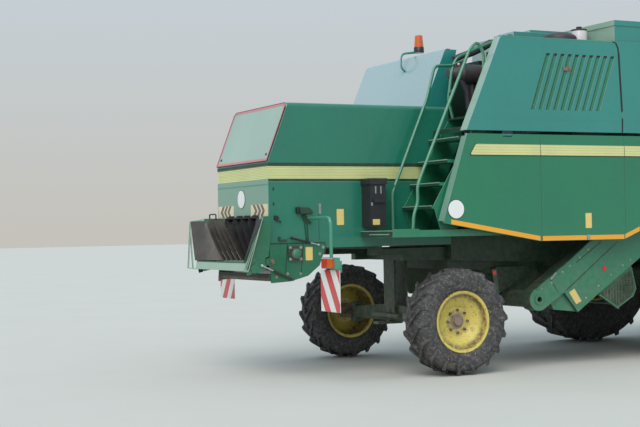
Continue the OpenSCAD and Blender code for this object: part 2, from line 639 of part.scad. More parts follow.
module cab_glass() color("lightblue") place() {
    g = 6;
    across(-cab_y + 10, -cab_y + 10 + g) offset(delta = -0.3) cab_hole();
    across(cab_y - 10 - g, cab_y - 10) offset(delta = -0.3) left_hole();
    // Windscreen, bent at the height of the operator's knees
    across(-cab_y + post + 0.3, cab_y - post - 0.3) intersection() {
        difference() { offset(delta = -12) cab_side(); offset(delta = -12 - g) cab_side(); }
        translate([cab_sill - 10, cab_floor + 110.3]) square([600, roof_z - post - cab_floor - 110.6]);
    }
    along(cab_back + 12, cab_back + 12 + g) offset(delta = -0.3) pane_profile(2700);
}
roof_x = cab_sill + 450;
module cab_roof() color("forestgreen") place() {
    across(-cab_y - 60, cab_y + 60) polygon([
        [cab_back - 60, roof_z + 0.3], [roof_x + 20, roof_z + 0.3], [roof_x + 60, roof_z + 60],
        [roof_x, roof_z + 150], [cab_back + 200, roof_z + 220], [cab_back - 60, roof_z + 170]]);
    // Work lamps under the front edge and a mirror arm on each side
    for (y = [-600, -300, 300, 600]) translate([roof_x, y, roof_z + 65]) rotate([0, 90, 0])
        cylinder(r = 55, h = 75);
    both_sides() {
        tube(rounded([
            [roof_x - 100, cab_y + 40, roof_z + 60], [roof_x + 50, cab_y + 420, roof_z + 40],
            [roof_x + 50, cab_y + 420, 2950]], 80), 12);
        box([roof_x + 35, cab_y + 330, 2940], [roof_x + 65, cab_y + 510, 3350]);
    }
    beacon_on_cab();
}
module beacon_on_cab() translate([cab_back + 250, 500, roof_z + 195]) {
    cylinder(r = 55, h = 60);
    translate([0, 0, 59]) cylinder(r1 = 52, r2 = 40, h = 80);
}
door_hinge = [door_x[0] - 14, cab_y + 20];
knuckle_z = [2250, 3300];
module cab_door() color("black") place() {
    difference() {
        across(cab_y - 34, cab_y + 4) door_profile(door_fit);
        across(cab_y - 40, cab_y + 10) offset(delta = -70) door_profile(door_fit);
    }
    across(cab_y - 20, cab_y - 14) offset(delta = -69) door_profile(door_fit);
    for (z = knuckle_z) difference() {
        union() {
            translate([door_hinge.x, door_hinge.y, z]) cylinder(r = 15, h = 90);
            box([door_hinge.x, cab_y + 5, z + 5], [door_x[0] + 15, cab_y + 18, z + 85]);
            box([door_x[0] + 14, cab_y + 3, z + 5], [door_x[0] + 60, cab_y + 18, z + 85]);
        }
        translate([door_hinge.x, door_hinge.y, z - 1]) cylinder(r = 8 + fit, h = 95);
    }
    grip_x = door_x[1] - 80;
    tube(rounded([
        [grip_x, cab_y + 3, 2600], [grip_x, cab_y + 55, 2600],
        [grip_x, cab_y + 55, 2950], [grip_x, cab_y + 3, 2950]], 30), 10);
}
module cab_interior() color("dimgray") place() {
    z = cab_floor + 90.3;
    seat = cab_back + 250;
    box([seat + 80, -200, z], [seat + 450, 200, z + 260]);
    box([seat, -260, z + 259], [seat + 540, 260, z + 370]);
    across(-240, 240) polygon([[seat, z + 360], [seat - 120, z + 940], [seat - 20, z + 960],
        [seat + 110, z + 369]]);
    // Console with the control lever
    box([seat + 50, -640, z], [seat + 750, -330, z + 560]);
    translate([seat + 650, -480, z + 559]) cylinder(r = 14, h = 110);
    translate([seat + 650, -480, z + 660]) sphere(r = 35);
    // Steering column and wheel
    column = cab_sill - 170;
    tube([[column, 0, z + 8], [column - 100, 0, z + 715]], 40);
    translate([column, 0, z]) cylinder(r = 75, h = 22);
    translate([column - 100, 0, z + 715]) rotate([0, -10, 0]) {
        rotate_extrude() translate([190, 0]) circle(r = 15, $fn = 16);
        for (a = [0:120:240]) rotate(a) translate([0, -12, -8]) cube([190, 24, 16]);
    }
}
ladder_x = [cab_sill - 540, cab_sill + 20];
module cab_platform() color("seagreen") place() {
    // Cross member under the cab and the left platform with its ladder
    both_sides() box([body_front + 0.3, half_w + 5, cab_floor - 110], [cab_sill - 50, half_w + 85,
        cab_floor + 29.7]);
    box([body_front + 0.3, -cab_y, cab_floor - 20], [cab_sill + 10, cab_y, cab_floor + 29.7]);
    box([cab_back + 160, cab_y - 1, cab_floor - 20], [cab_sill + 50, 1480, cab_floor + 29.7]);
    // Front fence
    fence = cab_sill + 30;
    tube(rounded([
        [fence, cab_y + 60, cab_floor + 20], [fence, cab_y + 60, 2950],
        [fence, 1450, 2950], [fence, 1450, cab_floor + 20]], 80), rail_d / 2);
    for (x = ladder_x) across(1486, 1500) polygon([[x, cab_floor + 29], [x, 560], [x + 30, 560],
        [x + 30, cab_floor + 29]]);
    for (x = ladder_x) box([x, 1470, cab_floor - 20], [x + 30, 1500, cab_floor + 29.7]);
    for (z = [580:290:1500]) box([ladder_x[0] + 1, 1440, z], [ladder_x[1] + 29, 1560, z + 30]);
}

// Axles and wheels. Both kinds of wheel are drawn about their own centre, with the axis along Y.
front_rim_r = 406;
rear_rim_r = 305;
kingpin_y = rear_track / 2 - 280;
hitch_x = -225;
hitch_r = 16.5;
stub_y = rear_track / 2 - 140;
module drive_axle() color("forestgreen") place() {
    bar_y(front_x, front_z, 110, -1010, 1010);
    both_sides() {
        across(560, 830) polygon([[front_x - 170, 1249.7], [front_x - 200, front_z],
            [front_x, front_z - 210], [front_x + 200, front_z], [front_x + 170, 1249.7]]);
        difference() {
            bar_y(front_x, front_z, 150, 1000, 1080);
            bar_y(front_x, front_z, 60 + fit, 1030, 1100);
        }
    }
    // Jacking pads under the axle tube, and the lift cylinders' brackets and pins
    both_sides() box([front_x - 60, 190, front_z - 130], [front_x + 60, 310, front_z - 80]);
    both_sides() {
        across(lift_y - 66, lift_y - 48) polygon([[front_x + 70, front_z - 40], [front_x + 20,
            front_z - 90], [lift_base.x - 20, 780], [lift_base.x + 40, 800], [lift_base.x + 30, 860]]);
        bar_y(lift_base.x, lift_base.y, 22, lift_y - 67, lift_y + 45);
    }
}
module steer_axle() color("forestgreen") place() {
    // Beam hung from the pivot bracket, with a fork at each end and a drawbar eye behind
    difference() {
        box([-270, -60, rear_z - 90], [50, 60, rear_z - 59]);
        translate([hitch_x, 0, 0]) cylinder(r = hitch_r, h = 1000);
    }
    translate([-98, 0, axle_pivot_z]) rotate([0, 90, 0]) cylinder(r = 30, h = 196);
    along(-55, 55) polygon([[-kingpin_y + 75, rear_z + 70], [-400, rear_z + 110], [0, rear_z + 130],
        [400, rear_z + 110],
        [kingpin_y - 75, rear_z + 70], [kingpin_y - 75, rear_z - 60], [-kingpin_y + 75, rear_z - 60]]);
    both_sides() difference() {
        union() {
            box([-58, kingpin_y - 102, rear_z + 55], [58, kingpin_y, rear_z + 115]);
            box([-58, kingpin_y - 102, rear_z - 115], [58, kingpin_y, rear_z - 55]);
            box([-58, kingpin_y - 102, rear_z - 115], [58, kingpin_y - 72, rear_z + 115]);
            for (z = [rear_z - 115, rear_z + 55]) translate([0, kingpin_y, z]) cylinder(r = 60, h = 60);
        }
        translate([0, kingpin_y, rear_z - 200]) cylinder(r = 28 + fit, h = 400);
    }
    // Steering cylinder and tie rod behind the beam
    bar_y(-135, rear_z, 30, -300, 300);
    both_sides() box([-120, 150, rear_z - 20], [-50, 190, rear_z + 20]);
}
module knuckle() {
    translate([0, kingpin_y, rear_z - 50]) cylinder(r = 50, h = 100);
    translate([0, kingpin_y, rear_z - 120]) cylinder(r = 28, h = 240);
    bar_y(0, rear_z, 42, kingpin_y, stub_y);
    bar_y(0, rear_z, 30, stub_y - 1, stub_y + 150);
    // Steering arm
    box([-200, kingpin_y - 20, rear_z - 25], [-30, kingpin_y + 20, rear_z + 25]);
}
module knuckle_left() color("forestgreen") place() knuckle();
module knuckle_right() color("forestgreen") place() mirror([0, 1, 0]) knuckle();

module turned(profile_at) rotate([-90, 0, 0]) rotate_extrude($fn = 64) children();
// Rim: barrel with flanges, a dished disc inset by dish from the outer edge, and a hub
module rim(r, w, dish, hub_r, bolt_n, bore_r, hub_in) difference() {
    turned() {
        polygon([[r - 14, -w / 2], [r + 22, -w / 2 - 10], [r + 22, -w / 2 - 4], [r - 0.3, -w / 2 + 6],
            [r - 0.3, w / 2 - 6],
            [r + 22, w / 2 + 4], [r + 22, w / 2 + 10], [r - 14, w / 2]]);
        // Disc as a cone that sinks towards the hub
        polygon([[r - 13, w / 2 - 40], [r - 13, w / 2 - 54], [r * 0.82, w / 2 - 60],
            [hub_r + 60, w / 2 - dish - 12], [bore_r, w / 2 - dish - 12],
            [bore_r, w / 2 - dish], [hub_r + 66, w / 2 - dish], [r * 0.84, w / 2 - 46]]);
        // Hub
        polygon([[bore_r, hub_in], [hub_r, hub_in], [hub_r, w / 2 - dish - 5], [bore_r, w / 2 - dish - 5]]);
        polygon([[0, w / 2 - dish + 34], [hub_r * 0.5, w / 2 - dish + 34], [hub_r * 0.62,
            w / 2 - dish - 2], [0, w / 2 - dish - 2]]);
    }
    for (k = [0:bolt_n - 1]) rotate([0, 360 * k / bolt_n, 0]) translate([hub_r + 36, w / 2 - dish - 30,
        0]) rotate([-90, 0, 0]) cylinder(r = 10, h = 60, $fn = 12);
}
module tyre_section(r, rc, w) {
    h = rc - r;
    outer = [[r, -w * 0.36], [r + h * 0.25, -w * 0.46], [r + h * 0.55, -w * 0.5], [r + h * 0.86,
        -w * 0.47], [rc - 6, -w * 0.4], [rc, -w * 0.2],
        [rc, w * 0.2], [rc - 6, w * 0.4], [r + h * 0.86, w * 0.47], [r + h * 0.55, w * 0.5],
            [r + h * 0.25, w * 0.46], [r, w * 0.36]];
    difference() {
        polygon(outer);
        translate([-30, 0]) offset(delta = -28) polygon(outer);
        translate([r - 40, -w * 0.36 + 28]) square([60, w * 0.72 - 56]);
    }
}
// One tread bar from the middle to a shoulder, with its ends turned by sweep
module tread_bar(rc, w, thick, sweep) {
    stations = [[-14, rc - 8, rc + lug_h, 0], [w * 0.43, rc - 26, rc + lug_h - 10, sweep],
        [w * 0.51, rc - 90, rc - 46, sweep * 1.12]];
    loft([for (q = stations) [for (e = [[q[1], -1.25], [q[2], -1], [q[2], 1], [q[1], 1.25]])
        let (a = q[3] + e[1] * thick / 2 / e[0] * 57.3) [e[0] * sin(a), q[0], e[0] * cos(a)]]]);
}
module tyre(d, w, r, bars, lead) {
    rc = d / 2 - lug_h;
    turned() tyre_section(r, rc, w);
    for (s = [-1, 1], k = [0:bars - 1]) rotate([0, (k + (s > 0 ? 0.5 : 0)) * 360 / bars, 0])
        mirror([0, s > 0 ? 0 : 1, 0]) tread_bar(rc, w, d * 0.034, lead * 324 / bars);
}
front_rim_w = front_tyre_w * 0.72 + 25;
rear_rim_w = rear_tyre_w * 0.72 + 25;
module at_front(s) translate([front_x, s * front_track / 2, front_z]) children();
module at_rear(s) translate([0, s * rear_track / 2, rear_z]) children();
module front_rim() {
    rim(front_rim_r, front_rim_w, 250, 130, 10, 0, -160);
    bar_y(0, 0, 60, -front_track / 2 + 1035, -150);
    bar_y(0, 0, 128, -front_track / 2 + 1085, -150);
}
module rear_rim() difference() {
    rim(rear_rim_r, rear_rim_w, 120, 85, 8, 0, -rear_track / 2 + stub_y + 8);
    bar_y(0, 0, 30 + fit, -200, -rear_track / 2 + stub_y + 152);
}
module front_rim_left() color("gold") place() at_front(1) front_rim();
module front_rim_right() color("gold") place() at_front(-1) mirror([0, 1, 0]) front_rim();
module rear_rim_left() color("gold") place() at_rear(1) rear_rim();
module rear_rim_right() color("gold") place() at_rear(-1) mirror([0, 1, 0]) rear_rim();
module front_tyre_left() color("dimgray") place() at_front(1) tyre(front_tyre_d, front_tyre_w,
    front_rim_r, 20, 1);
module front_tyre_right() color("dimgray") place() at_front(-1) mirror([0, 1, 0]) tyre(front_tyre_d,
    front_tyre_w, front_rim_r, 20, 1);
module rear_tyre_left() color("dimgray") place() at_rear(1) tyre(rear_tyre_d, rear_tyre_w, rear_rim_r, 18,
    1);
module rear_tyre_right() color("dimgray") place() at_rear(-1) mirror([0, 1, 0]) tyre(rear_tyre_d,
    rear_tyre_w, rear_rim_r, 18, 1);

// Clean grain elevator on the right, the returns elevator under it, and the guard of the lower drive
elevator_t = 90;
elevator_low = [[1424, 873], [2202, 1432]];
module grain_elevator() color("seagreen") place() {
    across(-elevator_y - elevator_t, -elevator_y + elevator_t) difference() {
        union() {
            translate(boot) circle(125);
            polygon([[1008, 909], [1526, 1248], [1755, 1419], [2750, 2010], [2750, 2690], [2970, 2690],
                [2970, 1985],
                elevator_low[1], elevator_low[0], boot + [68, -105]]);
        }
        translate(boot) circle(30);
    }
    // Raised edges and the bearing of the lower end
    for (y = [-elevator_y - elevator_t - 8, -elevator_y + elevator_t - 6]) across(y, y + 14)
        polygon([[1040, 922], [1526, 1240], [1755, 1411], [2740, 1996], [2746, 1980], [1760, 1393],
            [1532, 1222], [1052, 905]]);
    across(-elevator_y - elevator_t - 9, -elevator_y - elevator_t + 1) difference() { translate(boot)
        circle(60); translate(boot) circle(30); }
    box([1560, -elevator_y + elevator_t - 1, 1080], [1640, -600.3, 1140]);
    box([2780, -elevator_y + elevator_t - 1, 2250], [2860, -half_w - 0.3, 2330]);
}
guard_out = [[1925, 826], [2410, 1128], [2470, 880], [2424, 790], [2190, 660]];
module returns_elevator() color("green") place() {
    g = 0.3 * unit([559, -778]);
    across(-elevator_y - elevator_t + 6, -elevator_y + elevator_t - 6) polygon([elevator_low[0] + g,
        [1609, 646], [1887, 834], [2401, 1165],
        [2620, 1310], [2620, 1730], elevator_low[1] + g]);
    across(-elevator_y - 40, -elevator_y + 60) polygon([[1268, 760], [1305, 684], [1600, 652],
        [1500, 800], [1427, 868]]);
    // Guard of bars in a frame
    across(-1250, -1238) difference() {
        polygon([for (q = guard_out) q + (q.y > 820 && q.x < 2450 ? [-12, 18] : [0, 0])]);
        intersection() {
            offset(delta = -26) polygon(guard_out);
            union() for (k = [0:13]) translate([1932 + 42 * k, 600]) square([30, 600]);
        }
    }
    across(-1275, -1238) polygon([[1915, 824], [1925, 832], [2196, 666], [2190, 655]]);
    for (p = [[2150, 720], [2405, 900]]) bar_y(p.x, p.y, 15, -1240, -600.3);
}

// Feeder house with its pivot pins
feeder_w = 1200;
mouth_z = [ground + 230, ground + 930];
feeder_out = [[4290, 1850], [4330, 1870], [header_back, mouth_z[1]], [header_back, mouth_z[0]],
    [5700, mouth_z[0] + 20],
    [4330, 1130], [4290, 1180]];
function feeder_top(x) = 1870 - (x - 4330) * (1870 - mouth_z[1]) / (header_back - 4330);
function feeder_low(x) = 1130 - (x - 4330) * (1110 - mouth_z[0]) / 1370;
lift_y = 420;
lift_base = [3880, 820];
lift_eye = [5150, 560];
module feeder_house() color("forestgreen") place() {
    difference() {
        across(-feeder_w / 2, feeder_w / 2) polygon(feeder_out);
        across(-feeder_w / 2 + 20, feeder_w / 2 - 20) union() {
            offset(delta = -20) polygon(feeder_out);
            polygon([[5900, mouth_z[0] + 20], [6010, mouth_z[0] + 20], [6010, mouth_z[1] - 20],
                [5900, mouth_z[1] + 30]]);
            polygon([[4280, 1200], [4320, 1180], [4320, 1700], [4280, 1700]]);
        }
    }
    for (s = [-1, 1]) bar_y(feeder_pivot.x, feeder_pivot.y, feeder_pin_r,
        s > 0 ? feeder_w / 2 - 21 : -feeder_ear_y - 30, s > 0 ? feeder_ear_y + 30 : -feeder_w / 2 + 21);
    // Conveyor drum behind the mouth
    bar_y(5830, ground + 560, 110, -feeder_w / 2 + 19, feeder_w / 2 - 19);
    // Ribs and lugs for the lift cylinders
    for (x = [4800, 5300]) across(-feeder_w / 2 - 14, feeder_w / 2 + 14) difference() {
        polygon([[x, feeder_top(x) + 6], [x + 50, feeder_top(x + 50) + 6],
            [x + 50, feeder_low(x + 50) - 6], [x, feeder_low(x) - 6]]);
        polygon([[x - 9, feeder_top(x - 9) - 8], [x + 59, feeder_top(x + 59) - 8],
            [x + 59, feeder_low(x + 59) + 8], [x - 9, feeder_low(x - 9) + 8]]);
    }
    for (x = [4800, 5300]) both_sides() across(feeder_w / 2 - 1, feeder_w / 2 + 14)
        polygon([[x, feeder_top(x) + 6], [x + 50, feeder_top(x + 50) + 6],
            [x + 50, feeder_low(x + 50) - 6], [x, feeder_low(x) - 6]]);
    both_sides() across(lift_y - 55, lift_y - 35) polygon([[5020, feeder_low(5020) + 8],
        [5300, feeder_low(5300) + 8], [5190, lift_eye.y - 35], [5110, lift_eye.y - 35]]);
}
lift_barrel_l = 900;
module lift_barrels() color("black") place() both_sides() translate([0, lift_y, 0])
    barrel(lift_base, lift_base + lift_barrel_l * unit(lift_eye - lift_base), 40, 25, 48, 640, 22);
module lift_rods() color("silver") place() both_sides() translate([0, lift_y, 0])
    rod(lift_eye, lift_base, 1000, 25, 42, 14);

// Header
auger_c = [6450, 450];
end_t = 18;
trough_r = auger_d / 2 + 18;
module header_end() polygon(concat([[header_back, 120], [header_back, 1010]], rounded([[6300, 1010],
    [6750, 850], [7180, 420], [7300, 95]], 60), [[7150, 55], [6300, 40]]));
header_y = header_w / 2;
reel_pivot = [6080, 1060];
reel_base = [6180, 880];
module header_table() color("forestgreen") place_header() {
    // Back sheet with the mouth, floor and trough
    difference() {
        across(-header_y + 1, header_y - 1) difference() {
            polygon([[header_back + 0.3, 1000], [header_back + 0.3, 120], [6300, 40], [7150, 55],
                [7150, 78], [6640, 110], [header_back + 30, 130], [header_back + 30, 1000]]);
        }
        box([header_back - 10, -560, 260], [header_back + 200, 560, 900]);
    }
    across(-header_y + 1, header_y - 1) intersection() {
        difference() { translate(auger_c) circle(trough_r + 10); translate(auger_c) circle(trough_r); }
        polygon([[header_back + 5, 60], [6700, 60], [6640, 180], [6450, 450], [header_back + 5, 260]]);
    }
    box([header_back + 0.3, -header_y + 1, 940], [header_back + 90, header_y - 1, 1010]);
    // End sheets with pointed dividers, and lugs for the reel arms
    both_sides() {
        difference() {
            across(header_y - end_t, header_y) header_end();
            bar_y(auger_c.x, auger_c.y, 32 + fit, header_y - 40, header_y + 40);
        }
        intersection() {
            across(header_y - 110, header_y + 50) polygon([[7120, 60], [tip_x, 130], [7480, 330],
                [7120, 620]]);
            translate([7120, header_y, 0]) linear_extrude(700) polygon([[-40, -end_t], [-40, 0], [0, 50],
                [480, 8], [480, -20], [0, -100]]);
        }
        difference() {
            across(header_y - 68, header_y - 50) polygon([[header_back + 10, 1000], [header_back + 30,
                1095], [reel_pivot.x + 40, 1095], [header_back + 150, 1000], [header_back + 80, 960]]);
            bar_y(reel_pivot.x, reel_pivot.y, 18 + fit, header_y - 140, header_y - 40);
        }
        box([header_back + 20, header_y - 69, 955], [header_back + 85, header_y - 5, 1000]);
        bar_y(reel_base.x, reel_base.y, 12, header_y - 62, header_y - end_t + 1);
        // Skid shoe
        across(header_y - 400, header_y - 260) polygon([[6200, 60], [6250, 22], [6700, 22], [6800, 60]]);
    }
    // Knife guards
    for (y = [-header_y + 90:guard_pitch:header_y - 80]) translate([7100, y, 0]) intersection() {
        across(-14, 14) polygon([[0, 56], [0, 96], [60, 96], [170, 80], [60, 60]]);
        linear_extrude(200) polygon([[0, -14], [60, -14], [170, 0], [60, 14], [0, 14]]);
    }
    // Hitch beam that carries the table on the feeder house
    box([header_back + 0.3, -900, 900.3], [header_back + 110, 900, 960]);
}
auger_tube = 175;
auger_l = 2 * (header_y - end_t) - 20;
flight_l = auger_l / 2 - 560;
// One flight of the given hand, starting at the outer end
module flight(turns, n = 72) loft([for (i = [0:n]) let (a = 360 * turns * i / n, y = flight_l * i / n)
    [for (e = [[auger_tube - 6, -6], [auger_d / 2, -3], [auger_d / 2, 3], [auger_tube - 6, 6]])
        [e[0] * cos(a), -y + e[1], e[0] * sin(a)]]]);
module header_auger() color("khaki") place_header() translate([auger_c.x, 0, auger_c.y]) {
    bar_y(0, 0, auger_tube, -auger_l / 2, auger_l / 2);
    bar_y(0, 0, 32, -header_y - 6, header_y + 6);
    both_sides() translate([0, auger_l / 2 - 8, 0]) flight(3.5);
    // Retracting fingers over the middle
    for (k = [0:9]) rotate([0, k * 105, 0]) translate([0, (k - 4.5) * 105, auger_tube - 5])
        cylinder(r = 9, h = auger_d / 2 - auger_tube, $fn = 8);
}
reel_c = [7000, 1150];
reel_half = header_y - 115;
tine_l = 125;
bar_r = reel_d / 2 - tine_l;
arm_y = header_y - 102;
reel_cyl_y = header_y - 46;
reel_eye = [6800, 1104];
module reel_arms() color("forestgreen") place_header() {
    both_sides() {
        difference() {
            union() {
                across(arm_y, arm_y + 26) polygon([[6060, 1025], [6050, 1085], [7080, 1190], [7080, 1110]]);
                bar_y(reel_pivot.x, reel_pivot.y, 18, arm_y + 25, reel_cyl_y);
            }
            bar_y(reel_c.x, reel_c.y, 25 + fit, arm_y - 50, arm_y + 50);
        }
    }
    // Tube that ties both arms
    bar_y(6150, 1062, 30, -arm_y - 1, arm_y + 1);
}
spider_t = 12;
spider_y = [for (k = [-2:2]) k * (reel_half - 30) / 2 - spider_t / 2];
module reel() color("khaki") place_header() translate([reel_c.x, 0, reel_c.y]) {
    bar_y(0, 0, 70, -reel_half, reel_half);
    bar_y(0, 0, 25, -arm_y - 30, arm_y + 30);
    for (a = [0:360 / reel_bars:359]) rotate([0, a, 0]) {
        // Tine bar, its tines and the spokes that carry it
        translate([-20, -reel_half + 5, bar_r - 20]) cube([40, 2 * reel_half - 10, 40]);
        for (y = [-reel_half + 70:155:reel_half - 50]) translate([-5, y, bar_r + 10])
            cube([10, 10, tine_l - 10]);
        for (y = spider_y) translate([-16, y, 55]) cube([32, spider_t, bar_r - 60]);
    }
    // Hexagon that braces the spokes
    for (y = spider_y, a = [0:360 / reel_bars:359]) rotate([0, a, 0]) rotate([0, 90 + 180 / reel_bars, 0])
        translate([0, 0, 0]) brace(y + 2);
}
brace_r = bar_r - 120;
module brace(y) translate([-brace_r * cos(180 / reel_bars) - 12, y, -brace_r * sin(180 / reel_bars) - 3])
    cube([24, spider_t - 4, 2 * brace_r * sin(180 / reel_bars) + 6]);
reel_barrel_l = 470;
module reel_barrels() color("black") place_header() both_sides() translate([0, reel_cyl_y, 0])
    barrel(reel_base, reel_base + reel_barrel_l * unit(reel_eye - reel_base), 15, 9, 22, 400, 12);
module reel_rods() color("silver") place_header() both_sides() translate([0, reel_cyl_y, 0])
    rod(reel_eye, reel_base, 560, 9, 20, 11);

chassis();
separator_body();
straw_walkers();
straw_hood();
hood_band();
rear_board();
chopper_housing();
chopper_rotor();
tailboard();
tail_frame();
tail_vanes();
strut_barrels();
strut_rods();
lamp_brackets();
warning_boards();
rear_ladder();
ladder_treads();
extinguisher_case();
engine_panels();
shield_right();
shield_left();
grain_tank();
engine();
muffler();
cooling_box();
unloader_turret();
unloading_auger();
cab_frame();
cab_roof();
cab_glass();
cab_door();
cab_interior();
cab_platform();
drive_axle();
steer_axle();
knuckle_right();
knuckle_left();
front_rim_right();
front_rim_left();
front_tyre_right();
front_tyre_left();
rear_rim_right();
rear_rim_left();
rear_tyre_right();
rear_tyre_left();
grain_elevator();
returns_elevator();
feeder_house();
lift_barrels();
lift_rods();
header_table();
header_auger();
reel_arms();
reel();
reel_barrels();
reel_rods();
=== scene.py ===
import math
import bmesh
import bpy
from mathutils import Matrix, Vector


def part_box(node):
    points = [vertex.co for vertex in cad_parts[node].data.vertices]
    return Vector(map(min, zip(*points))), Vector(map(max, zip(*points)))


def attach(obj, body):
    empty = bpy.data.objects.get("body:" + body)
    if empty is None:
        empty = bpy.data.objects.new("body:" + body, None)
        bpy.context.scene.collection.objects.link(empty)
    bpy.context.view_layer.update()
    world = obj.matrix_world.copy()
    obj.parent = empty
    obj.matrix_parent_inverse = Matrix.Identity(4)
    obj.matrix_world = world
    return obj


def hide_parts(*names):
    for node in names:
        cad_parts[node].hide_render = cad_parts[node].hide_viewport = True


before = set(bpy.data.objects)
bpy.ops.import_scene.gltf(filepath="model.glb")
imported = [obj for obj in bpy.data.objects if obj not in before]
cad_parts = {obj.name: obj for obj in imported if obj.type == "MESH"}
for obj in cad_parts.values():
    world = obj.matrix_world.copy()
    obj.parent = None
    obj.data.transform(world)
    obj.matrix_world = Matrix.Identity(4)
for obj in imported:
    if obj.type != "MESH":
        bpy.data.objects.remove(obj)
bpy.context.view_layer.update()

# Places that several pieces share, in metres: x from the rear axle, y from the middle (left is +),
# and z from a level that lies DROP under the floor.
SIDES = ((-1, "right"), (1, "left"))
HOOD_BACK, HOOD_SIDE, HOOD_TOP = -1.9, 0.7, 2.97
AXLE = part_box("straw_hood")[0][0] - HOOD_BACK       # the rear axle's x in the frame
DROP = HOOD_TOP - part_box("straw_hood")[1][2]
REAR_HUB, FRONT_HUB = (0.0, 0.62), (3.7, 1.025)     # x and z
ROTOR = (-1.62, 1.377)                              # x and z of the chopper rotor's axis
CHEEK = 0.72                                        # side of the chopper housing
SHIELD = 1.5                                        # outer face of the shields and covers
DRAWN, LABEL = 0.0015, 0.002                        # how far a drawn line and a label stand proud


# ---- Materials: all procedural, in object space ----
def add_node(tree, kind, values=(), **props):
    """A shader node; values maps its inputs to a number, a vector or another node's output."""
    n = tree.nodes.new("ShaderNode" + kind)
    for k, v in props.items():
        setattr(n, k, v)
    for k, v in dict(values).items():
        if isinstance(v, bpy.types.NodeSocket):
            tree.links.new(v, n.inputs[k])
        else:
            n.inputs[k].default_value = v
    return n


class Finish:
    """One material, built up in layers. Colours are linear RGB."""

    DUST = (0.3, 0.25, 0.17)

    def __init__(self, name, colour, metallic=0.0, rough=0.4, coat=0.0, coat_rough=0.1, specular=0.5):
        self.material = bpy.data.materials.new(name)
        self.material.use_nodes = True
        self.tree = self.material.node_tree
        self.shader = self.tree.nodes["Principled BSDF"]
        self.shader.inputs["Metallic"].default_value = metallic
        self.shader.inputs["Coat Weight"].default_value = coat
        self.shader.inputs["Coat Roughness"].default_value = coat_rough
        self.shader.inputs["Specular IOR Level"].default_value = specular
        self.at = self.node("TexCoord").outputs["Object"]
        self.facing = self.node("SeparateXYZ", {0: self.node("NewGeometry").outputs["Normal"]}).outputs
        place = self.node("SeparateXYZ", {0: self.at}).outputs
        self.x, self.z = place[0], self.math("ADD", place[2], DROP)
        self.colour = self.fixed("RGB", (*colour, 1))
        self.rough = self.fixed("Value", rough)
        self.height = None

    def node(self, kind, values=(), **props):
        return add_node(self.tree, kind, values, **props)

    def fixed(self, kind, v):
        out = self.node(kind).outputs[0]
        out.default_value = v
        return out

    def noise(self, scale, detail=4.0, rough=0.6, stretch=None):
        at = self.at
        if stretch:
            at = self.node("VectorMath", {0: at, 1: stretch}, operation="MULTIPLY").outputs[0]
        values = {"Vector": at, "Scale": scale, "Detail": detail, "Roughness": rough}
        return self.node("TexNoise", values).outputs[0]

    def span(self, v, lo, hi, a=0.0, b=1.0):
        """Maps v from lo..hi to a..b and holds it at the ends."""
        values = {"Value": v, "From Min": lo, "From Max": hi, "To Min": a, "To Max": b}
        return self.node("MapRange", values).outputs[0]

    def math(self, op, a, b=0.5):
        return self.node("Math", {0: a, 1: b}, operation=op).outputs[0]

    def times(self, product, *factors):
        for v in factors:
            product = self.math("MULTIPLY", product, v)
        return product

    def blend(self, factor, colour):
        over = self.fixed("RGB", (*colour, 1))
        mix = self.node("Mix", {0: factor, 6: self.colour, 7: over}, data_type="RGBA")
        self.colour = mix.outputs[2]

    def patches(self, colour, scale, lo, hi, amount, **look):
        self.blend(self.span(self.noise(scale, **look), lo, hi, 0, amount), colour)

    def specks(self, colour, scale, lo, amount):
        self.blend(self.span(self.noise(scale, 2, 0.5), lo, lo + 0.05, 0, amount), colour)

    def roughen(self, factor, by):
        self.rough = self.math("ADD", self.rough, self.times(factor, by))

    def dust(self, amount):
        """Dust lies on faces that look up and on low parts, and thinly everywhere else."""
        top = self.span(self.facing[2], 0.25, 1.0, 0, 0.6)
        foot = self.span(self.z, 1.7, 0.3)
        cover = self.math("ADD", self.math("ADD", top, foot), 0.16)
        mask = self.times(cover, self.span(self.noise(14, 6, 0.7), 0.32, 0.68), amount)
        mask.node.use_clamp = True
        self.blend(mask, self.DUST)
        self.roughen(mask, 0.4)

    def bump(self, height, strength, distance):
        n = self.node("Bump", {"Strength": strength, "Distance": distance, "Height": height})
        if self.height:
            self.tree.links.new(self.height, n.inputs["Normal"])
        self.height = n.outputs[0]

    def done(self):
        self.tree.links.new(self.colour, self.shader.inputs["Base Color"])
        self.tree.links.new(self.rough, self.shader.inputs["Roughness"])
        if self.height:
            self.tree.links.new(self.height, self.shader.inputs["Normal"])
        return self.material


def paint(name, colour, deep, dust=0.35, rough=0.34, coat=0.35, specks=0.35, back=None, start=-0.45):
    """Satin enamel over sheet steel: cloudy tone, run-down streaks, dust, chaff specks and a slight
    sheet wave. back is a colour painted on faces that look back, and its strength: painted sky
    reflection where the colour is pale, painted shade where it is dark. It sets in where the normal's x is
    start."""
    f = Finish(name, colour, rough=rough, coat=coat, coat_rough=0.12)
    f.patches(deep, 0.9, 0.35, 0.75, 0.75)
    f.patches(deep, 5.0, 0.45, 0.8, 0.35, stretch=(1, 1, 0.25))
    if back:
        # Painted sky reflection (pale back colours) or painted shade (dark ones) on faces that look back.
        f.blend(f.span(f.facing[0], start, start - 0.35, 0, back[1]), back[0])
    f.dust(dust)
    if specks:
        f.specks((0.35, 0.42, 0.3), 70, 0.69, specks)
    f.bump(f.noise(1.6, 2, 0.4), 0.35, 0.012)
    f.bump(f.noise(420, 2, 0.5), 0.12, 0.0006)
    return f.done()


def film(name, colour, deep, dust, rough, coat=0.35):
    """Printed film: as the paint, without chaff specks."""
    return paint(name, colour, deep, dust=dust, rough=rough, coat=coat, specks=0.0)


